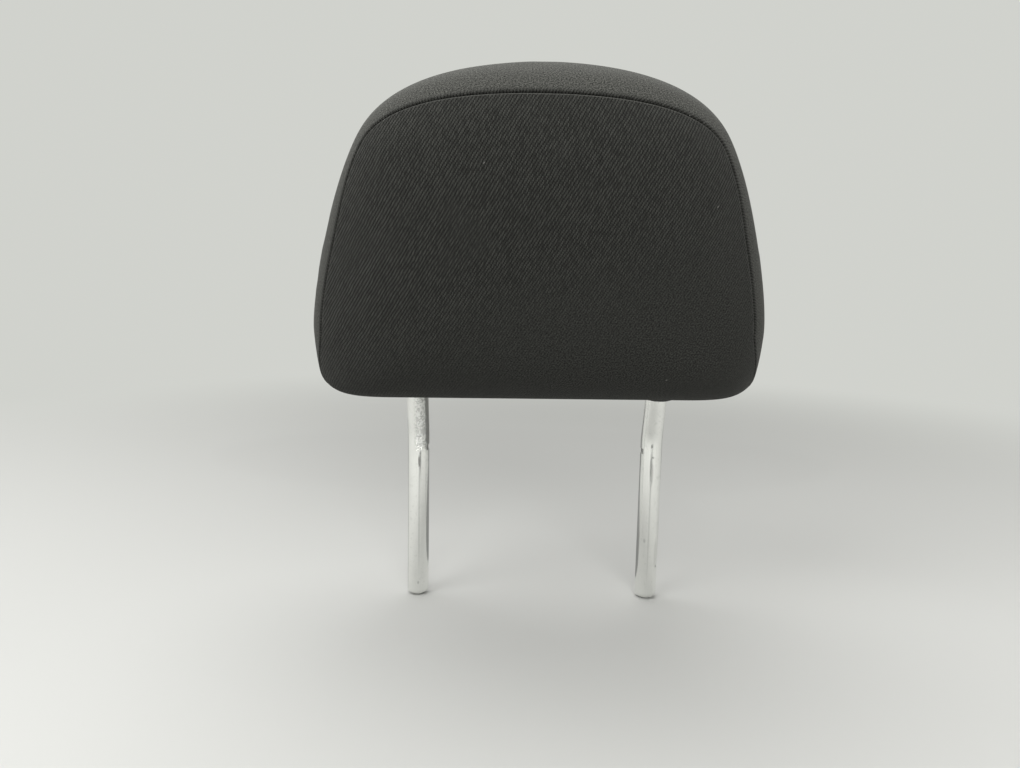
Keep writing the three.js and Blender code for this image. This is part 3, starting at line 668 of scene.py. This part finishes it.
def panel_bmesh(form, way, distances):
    """Face or back panel: rings that follow the seam, and an even grid across the middle."""
    bm = bmesh.new()
    place = bm.verts.layers.int.new("station")
    gap = bm.verts.layers.float.new("seam_distance")
    count = form.stations
    rows = [seam_rows(form, s, way, distances) for s in range(count)]
    ring = bmesh.ops.create_circle(bm, segments=count, radius=1)["verts"]
    for station, vert in enumerate(ring):
        vert[place] = station
    edges = list(bm.edges)
    for row, distance in enumerate(distances):
        if row:
            made = bmesh.ops.extrude_edge_only(bm, edges=edges)["geom"]
            edges = [g for g in made if isinstance(g, bmesh.types.BMEdge) and
                     all(v in made for v in g.verts)]
            ring = [g for g in made if isinstance(g, bmesh.types.BMVert)]
        for vert in ring:
            vert.co = form.point(vert[place], way, rows[vert[place]][row])
            vert[gap] = distance
    quarter = count // 8
    by_station = {frozenset(v[place] for v in e.verts): e for e in edges}
    def rail(first):
        return [by_station[frozenset(((first + k) % count, (first + k + 1) % count))] for k in range(2 * quarter)]
    rails = rail(-quarter % count) + rail(3 * quarter)
    filled = bmesh.ops.grid_fill(bm, edges=rails, use_smooth=False, use_interp_simple=False)["faces"]
    border = set(ring)
    inside = {v for f in filled for v in f.verts} - border
    for vert in inside:
        vert.co = form.surface(vert.co.x, vert.co.z, way)
        vert[gap] = 0.02
        vert[place] = -1
    return bm


def band_bmesh(form, distances, between):
    """Band over the top and down both sides, in rows from the face seam to the back seam."""
    bm = bmesh.new()
    place = bm.verts.layers.int.new("station")
    gap = bm.verts.layers.float.new("seam_distance")
    across = bm.verts.layers.float.new("across")
    along = bm.verts.layers.float.new("along")
    columns = []
    walked, before = 0.0, None
    for station in form.band_stations():
        turns = np.linspace(form.seam_turn(station, -1), -form.seam_turn(station, 1), 80)
        line = [form.point(station, -1, t) if t >= 0 else form.point(station, 1, -t) for t in turns]
        steps = np.cumsum([0] + [(b - a).length for a, b in zip(line, line[1:])])
        total = steps[-1]
        start = form.cushion.seam_gap
        edge = [start + min(d, total * 0.4 * i / len(distances)) for i, d in enumerate(distances)]
        inner = np.linspace(edge[-1], total - edge[-1], between + 2)[1:-1]
        stops = edge + list(inner) + [total - d for d in reversed(edge)]
        middle = line[40]
        if before is not None:
            walked += (middle - before).length
        before = middle
        column = []
        for stop in stops:
            turn = float(np.interp(stop, steps, turns))
            vert = bm.verts.new(form.point(station, -1, turn) if turn >= 0 else form.point(station, 1, -turn))
            vert[gap] = min(stop, total - stop) - start
            vert[place] = station
            vert[across] = stop - total / 2
            vert[along] = walked
            column.append(vert)
        edges = [bm.edges.new(pair) for pair in zip(column, column[1:])]
        columns.append(edges)
    for first, second in zip(columns, columns[1:]):
        bmesh.ops.bridge_loops(bm, edges=first + second)
    return bm


SEAM_ROWS = (0.0, 0.0003, 0.0007, 0.0012, 0.0018, 0.0028, 0.0045, 0.007, 0.010)
COARSE_ROWS = (0.0, 0.004, 0.008)


def cover_place(bar, cushion):
    """Turn and place of the cushion in the frame of the posts."""
    lean = Matrix.Translation((0, 0, bar.post_length)) @ Matrix.Rotation(bar.lean, 4, "X")
    pivot = Matrix.Translation((-cushion.offset, 0, cushion.bottom))
    return lean @ pivot @ Matrix.Rotation(-cushion.skew, 4, "Y") @ Matrix.Translation((0, 0, -cushion.bottom))


def simulated_swell(form):
    """A coarse closed shell of the cushion at rest, and how the filling moves each of its points."""
    shell = bmesh.new()
    for way in (-1, 1):
        part = panel_bmesh(form, way, COARSE_ROWS)
        mesh = mesh_of(part, "coarse_part")
        shell.from_mesh(mesh)
        bpy.data.meshes.remove(mesh)
    mesh = mesh_of(band_bmesh(form, COARSE_ROWS, 8), "coarse_band")
    shell.from_mesh(mesh)
    bpy.data.meshes.remove(mesh)
    bmesh.ops.remove_doubles(shell, verts=shell.verts, dist=0.00025)
    bmesh.ops.recalc_face_normals(shell, faces=shell.faces)
    gap = shell.verts.layers.float["seam_distance"]
    shell.verts.ensure_lookup_table()
    shell.verts.index_update()
    held = [v.index for v in shell.verts if v[gap] < 0.0005 or v.is_boundary]
    rest = BVHTree.FromBMesh(shell)
    corners = [[v.index for v in f.verts] for f in shell.faces]
    places = [v.co.copy() for v in shell.verts]
    normals = [v.normal.copy() for v in shell.verts]
    mesh = mesh_of(shell, "coarse_shell")
    moves = [0.0] * len(places)
    scene = bpy.context.scene
    pad = bpy.data.objects.new("coarse_shell", mesh)
    scene.collection.objects.link(pad)
    pad.vertex_groups.new(name="seams").add(held, 1.0, "REPLACE")
    cloth = pad.modifiers.new("Cloth", "CLOTH")
    cloth.point_cache.frame_start = 1
    cloth.point_cache.frame_end = 20
    cloth.collision_settings.use_collision = False
    values = cloth.settings
    values.quality = 7
    values.mass = 0.2
    values.tension_stiffness = 25
    values.compression_stiffness = 25
    values.shear_stiffness = 12
    values.bending_stiffness = 2
    values.shrink_min = -0.003
    values.use_pressure = True
    values.uniform_pressure_force = 3
    values.effector_weights.gravity = 0
    values.vertex_group_mass = "seams"
    for number in range(1, 21):
        scene.frame_set(number)
    swollen = applied(pad)
    scene.frame_set(1)
    moves = [(v.co - place).dot(normal) for v, place, normal in zip(swollen.vertices, places, normals)]
    bpy.data.objects.remove(pad)
    bpy.data.meshes.remove(swollen)
    return rest, corners, places, moves


def swell_at(rest, corners, places, moves, point, most):
    """Lift of the cloth at a point, read off the coarse shell."""
    near, _, face, _ = rest.find_nearest(point)
    ring = corners[face]
    weights = poly_3d_calc([places[i] for i in ring], near)
    lift = sum(w * moves[i] for w, i in zip(weights, ring))
    return max(-most, min(most, lift))


def sewn_panel(bm, cushion, swell, level):
    """Rolls the edge of a panel into its seam, lifts it by the filling and gives it a turned-in edge."""
    bmesh.ops.recalc_face_normals(bm, faces=bm.faces)
    bm.normal_update()
    gap = bm.verts.layers.float["seam_distance"]
    normals = {v: v.normal.copy() for v in bm.verts}
    for vert, normal in normals.items():
        lift = swell_at(*swell, vert.co, 1.0) - level
        lift = max(-cushion.swell, min(cushion.swell, lift)) * min(1, vert[gap] / 0.006)
        d = min(vert[gap], cushion.roll)
        dip = cushion.roll - math.sqrt(cushion.roll ** 2 - (cushion.roll - d) ** 2)
        vert.co += normal * (lift - dip)
    border = [e for e in bm.edges if e.is_boundary]
    made = bmesh.ops.extrude_edge_only(bm, edges=border)["geom"]
    for vert in made:
        if isinstance(vert, bmesh.types.BMVert):
            source = next(o for e in vert.link_edges for o in (e.other_vert(vert),) if o in normals)
            vert.co = source.co - normals[source] * cushion.seam_depth


def add_seam_uv(bm, form):
    """Distance walked along a seam and distance from it, in metres."""
    uv = bm.loops.layers.uv.new("seam")
    gap = bm.verts.layers.float["seam_distance"]
    place = bm.verts.layers.int["station"]
    for face in bm.faces:
        stations = [vert[place] for vert in face.verts]
        wraps = max(stations) - min(stations) > form.stations // 2
        for loop in face.loops:
            station = loop.vert[place]
            if wraps and station < form.stations // 2:
                station += form.stations
            loop[uv].uv = (station * form.step, loop.vert[gap])


def add_panel_uv(bm, form, way):
    """Lays the panel's cloth flat from its middle outwards, in metres."""
    uv = bm.loops.layers.uv.new("cloth")
    depth, squareness = form.side(way)
    flat = {}
    for vert in bm.verts:
        x, up = vert.co.x, vert.co.z - form.middle
        radius = math.hypot(x, up)
        heading = math.atan2(x, up)
        reach = np.interp(heading, form.heading, form.reach, period=2 * math.pi)
        out = min(0.9999, radius / reach)
        shares = np.linspace(0, out, 24)
        depths = depth * (1 - shares ** squareness) ** (1 / squareness)
        walked = float(np.hypot(np.diff(shares) * reach, np.diff(depths)).sum())
        stretch = walked / radius if radius > 1e-6 else 1.0
        flat[vert] = (way * -1 * x * stretch, up * stretch)
    for face in bm.faces:
        for loop in face.loops:
            loop[uv].uv = flat[loop.vert]


def add_band_uv(bm):
    """Lays the band's cloth flat along its own length, in metres."""
    uv = bm.loops.layers.uv.new("cloth")
    across = bm.verts.layers.float["across"]
    along = bm.verts.layers.float["along"]
    for face in bm.faces:
        for loop in face.loops:
            loop[uv].uv = (loop.vert[along], loop.vert[across])


# Pieces

class HEADREST_OT_stage(Operator):
    """Makes the pale floor and backdrop, the soft lamps, the world and the camera"""

    bl_idname = "headrest.stage"
    bl_label = "Stage"

    def execute(self, context):
        scene = context.scene
        stage = scene.headrest_stage
        self.sweep(scene, stage)
        # cards seen only in reflections, as painted shade: the dark one in front puts dark streaks into the posts'
        # fronts, the dim ones behind put the shade behind the object into their edges
        self.card(scene, "front_card", stage.dark_card, (0.070, 0.055), (0.062, -0.295, 0.003))
        self.card(scene, "back_card", stage.dim_card, (0.12, 0.16), (0.02, 0.175, 0.002))
        self.card(scene, "far_card", stage.dim_card, (0.32, 0.15), (0.0, 0.36, 0.001))
        self.world(scene, stage)
        self.lamp(scene, "key_lamp", stage.key, 0.7, (-0.85, -0.75, 1.35))
        self.lamp(scene, "top_lamp", stage.top, 1.9, (-0.2, 0.50, 1.70))
        self.lamp(scene, "fill_lamp", stage.fill, 1.0, (0.1, -1.6, 0.75))
        self.camera(scene)
        scene.view_settings.view_transform = "Standard"
        return {"FINISHED"}

    def sweep(self, scene, stage):
        """Floor that rises into a backdrop far behind the object."""
        bm = bmesh.new()
        ends = [bm.verts.new((x, -3.0, 0.0)) for x in (-6.0, 6.0)]
        edge = bm.edges.new(ends)
        geom = bmesh.ops.extrude_edge_only(bm, edges=[edge])["geom"]
        row = [g for g in geom if isinstance(g, bmesh.types.BMVert)]
        bmesh.ops.translate(bm, verts=row, vec=(0, 4.2, 0))
        edge = [g for g in geom if isinstance(g, bmesh.types.BMEdge) and all(v in row for v in g.verts)]
        bent = bmesh.ops.spin(bm, geom=row + edge, cent=(0, 1.2, 1.2), axis=(1, 0, 0), angle=math.pi / 2, steps=24)
        last = [g for g in bent["geom_last"] if isinstance(g, bmesh.types.BMEdge)]
        geom = bmesh.ops.extrude_edge_only(bm, edges=last)["geom"]
        bmesh.ops.translate(bm, verts=[g for g in geom if isinstance(g, bmesh.types.BMVert)], vec=(0, 0, 4.0))
        bmesh.ops.recalc_face_normals(bm, faces=bm.faces)
        floor = bpy.data.objects.new("floor", mesh_of(bm, "floor"))
        floor.data.polygons.foreach_set("use_smooth", [True] * len(floor.data.polygons))
        scene.collection.objects.link(floor)
        floor.data.materials.append(floor_material(stage))

    def card(self, scene, name, tint, half_sizes, place):
        """Oval card on the floor that only reflections see, as painted shade for the chrome to mirror."""
        bm = bmesh.new()
        spread = Matrix.Translation(place) @ Matrix.Diagonal((*half_sizes, 1, 1))
        bmesh.ops.create_circle(bm, cap_ends=True, segments=48, radius=1, matrix=spread)
        card = bpy.data.objects.new(name, mesh_of(bm, name))
        scene.collection.objects.link(card)
        made = Material(name)
        made.set(Base_Color=tuple(tint), Roughness=0.9, Specular_IOR_Level=0.0)
        card.data.materials.append(made.data)
        card.visible_camera = False
        card.visible_diffuse = False
        card.visible_shadow = False
        card.visible_transmission = False

    def world(self, scene, stage):
        """Even light, with the backdrop's colour where the camera or a reflection meets it."""
        world = bpy.data.worlds.new("soft_room")
        world.use_nodes = True
        tree = world.node_tree
        path = tree.nodes.new("ShaderNodeLightPath").outputs
        either = tree.nodes.new("ShaderNodeMath")
        either.operation = "MAXIMUM"
        tree.links.new(path["Is Camera Ray"], either.inputs[0])
        tree.links.new(path["Is Glossy Ray"], either.inputs[1])
        lighting = tree.nodes["Background"]
        lighting.inputs["Color"].default_value = (1.0, 1.0, 0.97, 1.0)
        lighting.inputs["Strength"].default_value = stage.world
        backdrop = tree.nodes.new("ShaderNodeBackground")
        backdrop.inputs["Color"].default_value = (*stage.backdrop, 1.0)
        mixed = tree.nodes.new("ShaderNodeMixShader")
        tree.links.new(either.outputs[0], mixed.inputs[0])
        tree.links.new(lighting.outputs[0], mixed.inputs[1])
        tree.links.new(backdrop.outputs[0], mixed.inputs[2])
        tree.links.new(mixed.outputs[0], tree.nodes["World Output"].inputs["Surface"])
        scene.world = world

    def lamp(self, scene, name, power, size, place):
        data = bpy.data.lights.new(name, "AREA")
        data.energy = power
        data.size = size
        lamp = bpy.data.objects.new(name, data)
        lamp.location = place
        aim = Vector((0, 0, 0.15)) - Vector(place)
        lamp.rotation_euler = aim.to_track_quat("-Z", "Y").to_euler()
        scene.collection.objects.link(lamp)

    def camera(self, scene):
        data = bpy.data.cameras.new("camera")
        data.sensor_width = 36.0
        data.lens = 27.07
        camera = bpy.data.objects.new("camera", data)
        camera.location = (-0.0167, -0.4273, 0.1788)
        camera.rotation_euler = [math.radians(a) for a in (82.5586, -1.1218, -0.0955)]
        scene.collection.objects.link(camera)
        scene.camera = camera


class HEADREST_OT_post_bar(Operator):
    """Bends the round bar of the two posts and the bow, and cuts its locking notches"""

    bl_idname = "headrest.post_bar"
    bl_label = "Post Bar"

    def execute(self, context):
        bar = context.scene.headrest_bar
        radius = bar.diameter / 2
        half = POST_HIGH.x - radius
        bm = bmesh.new()
        tip = (-half, 0, 0)
        bmesh.ops.create_circle(bm, cap_ends=True, segments=64, radius=radius - bar.tip_rounding,
                                matrix=Matrix.Translation(tip))
        self.ring = list(bm.verts)
        self.edges = list(bm.edges)
        self.radius = radius
        self.round_tip(bm, bar, opening=True)
        setback = bar.lean_radius * math.tan(bar.lean / 2)
        up = Vector((0, 0, 1))
        lean_up = Matrix.Rotation(bar.lean, 3, "X") @ up
        forward = Vector((0, -1, 0))
        self.lengthen(bm, up * (bar.post_length - setback - bar.tip_rounding))
        self.bend(bm, forward * bar.lean_radius, Vector((1, 0, 0)), bar.lean, 10)
        self.lengthen(bm, lean_up * (bar.bow_height - setback - bar.corner_radius))
        right = Vector((1, 0, 0))
        self.bend(bm, right * bar.corner_radius, lean_up.cross(right), math.pi / 2, 20)
        self.lengthen(bm, right * (2 * half - 2 * bar.corner_radius))
        self.bend(bm, -lean_up * bar.corner_radius, lean_up.cross(right), math.pi / 2, 20)
        self.lengthen(bm, -lean_up * (bar.bow_height - setback - bar.corner_radius))
        outward = Matrix.Rotation(bar.lean, 3, "X") @ forward
        self.bend(bm, outward * bar.lean_radius, Vector((1, 0, 0)), -bar.lean, 10)
        self.lengthen(bm, -up * (bar.post_length - setback - bar.tip_rounding))
        self.round_tip(bm, bar, opening=False)
        bmesh.ops.remove_doubles(bm, verts=bm.verts, dist=1e-6)
        bmesh.ops.recalc_face_normals(bm, faces=bm.faces)
        mesh = mesh_of(bm, "post_bar")
        cutter = self.notch_cutter(bar, half, radius)
        cut = with_modifiers(mesh, ("BOOLEAN", {"object": cutter, "operation": "DIFFERENCE", "solver": "EXACT"}))
        bpy.data.objects.remove(cutter)
        piece = finish_piece("post_bar", cut, chrome_material(bar), "post_chrome", "post_frame")
        piece.data.set_sharp_from_angle(angle=math.radians(35))
        return {"FINISHED"}

    def lengthen(self, bm, step):
        """Draws the bar on in a straight line."""
        geom = bmesh.ops.extrude_edge_only(bm, edges=self.edges)["geom"]
        self.ring = [g for g in geom if isinstance(g, bmesh.types.BMVert)]
        ring = set(self.ring)
        self.edges = [g for g in geom if isinstance(g, bmesh.types.BMEdge) and set(g.verts) <= ring]
        bmesh.ops.translate(bm, verts=self.ring, vec=step)

    def bend(self, bm, to_centre, axis, turn, steps):
        """Bends the bar on round a centre."""
        centre = sum((v.co for v in self.ring), Vector()) / len(self.ring) + to_centre
        made = bmesh.ops.spin(bm, geom=self.ring + self.edges, cent=centre, axis=axis, angle=turn, steps=steps)
        self.ring = [g for g in made["geom_last"] if isinstance(g, bmesh.types.BMVert)]
        self.edges = [g for g in made["geom_last"] if isinstance(g, bmesh.types.BMEdge)]

    def round_tip(self, bm, bar, opening):
        """Rounds the edge of a tip, growing from its flat end or closing to it."""
        rounding = bar.tip_rounding
        turns = [math.radians(a) for a in range(0, 91, 10)]
        if not opening:
            turns.reverse()
        wide = [self.radius - rounding * (1 - math.sin(a)) for a in turns]
        rise = [rounding * (1 - math.cos(a)) for a in turns]
        for i in range(1, len(turns)):
            self.lengthen(bm, (0, 0, rise[i] - rise[i - 1]))
            middle = sum((v.co for v in self.ring), Vector()) / len(self.ring)
            scale = wide[i] / wide[i - 1]
            bmesh.ops.scale(bm, verts=self.ring, vec=(scale, scale, 1), space=Matrix.Translation(-middle))
        if not opening:
            bmesh.ops.contextual_create(bm, geom=self.edges)

    def notch_cutter(self, bar, half, radius):
        bm = bmesh.new()
        for side in (-1, 1):
            depth = 2 * bar.notch_depth
            place = Matrix.Translation((side * (half - radius), 0, bar.notch_level))
            size = Matrix.Diagonal((depth, bar.diameter, bar.notch_height, 1))
            bmesh.ops.create_cube(bm, size=1, matrix=place @ size)
        cutter = bpy.data.objects.new("notch_cutter", mesh_of(bm, "notch_cutter"))
        bpy.context.scene.collection.objects.link(cutter)
        return cutter


class HEADREST_OT_cover(Operator):
    """Sews the three panels of the cover, swelled a little by the filling"""

    bl_idname = "headrest.cover"
    bl_label = "Sewn Cover"

    def execute(self, context):
        scene = context.scene
        cushion, bar, cloth = scene.headrest_cushion, scene.headrest_bar, scene.headrest_cloth
        place = cover_place(bar, cushion)
        form = CushionForm(cushion, 256)
        swell = simulated_swell(CushionForm(cushion, 128))
        moved = [m for m in swell[3] if m > 1e-6]
        level = sum(moved) / len(moved) if moved else 0.0
        twill = twill_material("charcoal_twill", cloth, cushion.stitch, cloth.panel_nap, 0.05, 0.5)
        # the band's twill: a lighter copy of the panels' twill, with painted light from above and sheen
        band_twill_painted_lighter = twill_material("napped_twill_painted_lighter", cloth, cushion.stitch, cloth.band_nap_painted_lighter, 0.68, 0.0)
        cutter = self.underside_cutter(cushion, bar)
        pieces = []
        for name, way, node in (("face_panel", -1, "cover_face_panel"), ("back_panel", 1, "cover_back_panel")):
            bm = panel_bmesh(form, way, SEAM_ROWS)
            add_panel_uv(bm, form, way)
            add_seam_uv(bm, form)
            pieces.append((name, self.sew(bm, cushion, swell, level), node))
        bm = band_bmesh(form, SEAM_ROWS, 14)
        add_band_uv(bm)
        add_seam_uv(bm, form)
        pieces.append(("side_band", self.sew(bm, cushion, swell, level), "cover_band"))
        for name, mesh, node in pieces:
            steps = [
                ("SUBSURF", {"levels": 1, "render_levels": 1}),
                ("SOLIDIFY", {"thickness": cushion.wall, "offset": -1, "use_even_offset": False}),
            ]
            if name != "side_band":
                steps.append(("BOOLEAN", {"object": cutter, "operation": "DIFFERENCE", "solver": "FAST"}))
            made = with_modifiers(mesh, *steps)
            made.transform(place)
            piece = finish_piece(name, made, band_twill_painted_lighter if name == "side_band" else twill, "cover_cloth", node)
        bpy.data.objects.remove(cutter)
        return {"FINISHED"}

    def sew(self, bm, cushion, swell, level):
        sewn_panel(bm, cushion, swell, level)
        return mesh_of(bm, "sewn_panel")

    def underside_cutter(self, cushion, bar):
        """Slot for the closing strips and a hole for each collar."""
        low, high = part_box("closing_strip_face")
        collar_low, collar_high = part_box("post_collar_left")
        bm = bmesh.new()
        slot = Matrix.Translation((0, 0, cushion.bottom)) @ Matrix.Diagonal((high.x - low.x + 0.001, 0.0082, 0.024, 1))
        bmesh.ops.create_cube(bm, size=1, matrix=slot)
        for side in (-1, 1):
            hole = Matrix.Translation((side * (POST_HIGH.x - bar.diameter / 2), 0, cushion.bottom))
            bmesh.ops.create_cone(bm, cap_ends=True, segments=48, radius1=0.0088, radius2=0.0088, depth=0.024,
                                  matrix=hole)
        cutter = bpy.data.objects.new("underside_cutter", mesh_of(bm, "underside_cutter"))
        bpy.context.scene.collection.objects.link(cutter)
        return cutter


class HEADREST_OT_stitches(Operator):
    """Sews a row of thread loops down in each seam"""

    bl_idname = "headrest.stitches"
    bl_label = "Seam Stitches"

    def execute(self, context):
        scene = context.scene
        cushion, bar, cloth = scene.headrest_cushion, scene.headrest_bar, scene.headrest_cloth
        form = CushionForm(cushion, 256)
        bm = bmesh.new()
        for way in (-1, 1):
            seam = [form.point(s, way, form.seam_turn(s, way)) for s in form.band_stations()]
            self.row(bm, form, cushion, seam, way)
        bm.transform(cover_place(bar, cushion))
        bmesh.ops.recalc_face_normals(bm, faces=bm.faces)
        finish_piece("seam_stitches", mesh_of(bm, "seam_stitches"), thread_material(cloth), "cover_cloth")
        return {"FINISHED"}

    def row(self, bm, form, cushion, seam, way):
        """One loop of thread across the seam at each stitch."""
        steps = np.cumsum([0] + [(b - a).length for a, b in zip(seam, seam[1:])])
        middle = Vector((0, 0, form.middle))
        for walked in np.arange(cushion.stitch, steps[-1] - cushion.stitch, cushion.stitch):
            i = int(np.searchsorted(steps, walked)) - 1
            place = seam[i].lerp(seam[i + 1], (walked - steps[i]) / (steps[i + 1] - steps[i]))
            along = (seam[i + 1] - seam[i]).normalized()
            out = (place - middle).normalized()
            across = along.cross(out).normalized()
            up = across.cross(along)
            turn = Matrix((across, along, up)).transposed().to_4x4()
            slant = Matrix.Rotation(math.radians(12 * way), 4, "Z")
            size = Matrix.Diagonal((2.2 * cushion.thread, cushion.thread / 2, cushion.thread / 2, 1))
            spot = Matrix.Translation(place - up * (cushion.roll + cushion.thread / 2))
            bmesh.ops.create_uvsphere(bm, u_segments=6, v_segments=5, radius=1, matrix=spot @ turn @ slant @ size)


# Hairs and lint on the face: thickness, then places as distance to the right and level
LINT = (
    (0.00016, (0.0031, 0.0742), (0.0029, 0.0679), (0.0025, 0.0630), (0.0017, 0.0582)),
    (0.00018, (-0.0128, 0.0625), (-0.0122, 0.0632), (-0.0108, 0.0634)),
    (0.00007, (0.0229, 0.0867), (0.0240, 0.0837), (0.0260, 0.0781), (0.0280, 0.0728)),
    (0.00014, (0.0361, 0.0966), (0.0373, 0.0980), (0.0378, 0.0990)),
    (0.00014, (-0.0271, 0.1553), (-0.0265, 0.1560)),
    (0.00012, (-0.0209, 0.1457), (-0.0205, 0.1463)),
    (0.00012, (0.0112, 0.0820), (0.0116, 0.0826)),
    (0.00014, (0.0624, 0.0518), (0.0630, 0.0522)),
    (0.00010, (0.0785, 0.1361), (0.0790, 0.1368)),
    (0.00012, (0.0630, 0.1748), (0.0634, 0.1753)),
    (0.00010, (-0.0333, 0.1329), (-0.0328, 0.1336)),
    (0.00010, (-0.0417, 0.1133), (-0.0413, 0.1140)),
)


class HEADREST_OT_lint(Operator):
    """Lays a few hairs and bits of lint on the face"""

    bl_idname = "headrest.lint"
    bl_label = "Lint"

    def execute(self, context):
        scene = context.scene
        cushion, bar, cloth = scene.headrest_cushion, scene.headrest_bar, scene.headrest_cloth
        form = CushionForm(cushion, 256)
        curve = bpy.data.curves.new("lint", "CURVE")
        curve.dimensions = "3D"
        curve.bevel_depth = 1.0
        curve.bevel_resolution = 1
        curve.use_fill_caps = True
        for thickness, *places in LINT:
            line = curve.splines.new("POLY")
            line.points.add(len(places) - 1)
            for i, (point, (x, level)) in enumerate(zip(line.points, places)):
                on_face = form.surface(x, level, -1) + Vector((0, -thickness, 0))
                point.co = (*on_face, 1.0)
                point.radius = thickness if 0 < i < len(places) - 1 else 0.6 * thickness
        holder = bpy.data.objects.new("lint", curve)
        scene.collection.objects.link(holder)
        mesh = applied(holder)
        bpy.data.objects.remove(holder)
        mesh.transform(cover_place(bar, cushion))
        finish_piece("lint", mesh, lint_material(cloth), "cover_cloth")
        return {"FINISHED"}


class HEADREST_OT_foam(Operator):
    """Puts the moulded foam under the cover"""

    bl_idname = "headrest.foam"
    bl_label = "Foam"

    def execute(self, context):
        bm = bmesh.new()
        bm.from_mesh(NODES["foam_pad"].data)
        bmesh.ops.remove_doubles(bm, verts=bm.verts, dist=1e-6)
        mesh = mesh_of(bm, "foam_filling")
        piece = finish_piece("foam_filling", mesh, foam_material(context.scene.headrest_cloth), "pad_foam", "foam_pad")
        piece.data.set_sharp_from_angle(angle=math.radians(40))
        return {"FINISHED"}


class HEADREST_OT_trim(Operator):
    """Finishes the collars, the closing strips, the core and its screws"""

    bl_idname = "headrest.trim"
    bl_label = "Trim and Core"

    def execute(self, context):
        trim = context.scene.headrest_trim
        plastic = plastic_material("trim_plastic", trim.plastic)
        core = plastic_material("core_plastic", trim.core, 700.0)
        steel = steel_material(trim)
        for name in NODES:
            if name.startswith(("post_collar", "closing_strip")):
                dress_node(name, plastic)
            elif name.startswith("core_screw"):
                dress_node(name, steel)
            elif name.startswith("core_"):
                dress_node(name, core)
        return {"FINISHED"}


OPERATORS = (
    HEADREST_OT_stage,
    HEADREST_OT_post_bar,
    HEADREST_OT_cover,
    HEADREST_OT_stitches,
    HEADREST_OT_lint,
    HEADREST_OT_foam,
    HEADREST_OT_trim,
)


class HEADREST_PT_panel(Panel):
    """Lists the headrest's operators and settings"""

    bl_idname = "HEADREST_PT_panel"
    bl_label = "Headrest"
    bl_space_type = "VIEW_3D"
    bl_region_type = "UI"
    bl_category = "Headrest"

    def draw(self, context):
        layout = self.layout
        for operator in OPERATORS:
            layout.operator(operator.bl_idname)
        for name, kind in SETTINGS.items():
            box = layout.box()
            box.label(text=kind.__doc__)
            group = getattr(context.scene, name)
            for key in kind.__annotations__:
                box.prop(group, key)


CLASSES = (*SETTINGS.values(), *OPERATORS, HEADREST_PT_panel)


def register():
    for cls in CLASSES:
        bpy.utils.register_class(cls)
    for name, kind in SETTINGS.items():
        setattr(bpy.types.Scene, name, PointerProperty(type=kind))


def unregister():
    for name in SETTINGS:
        delattr(bpy.types.Scene, name)
    for cls in reversed(CLASSES):
        bpy.utils.unregister_class(cls)


def main():
    register()
    for operator in OPERATORS:
        group, name = operator.bl_idname.split(".")
        getattr(getattr(bpy.ops, group), name)()


if __name__ == "__main__":
    main()
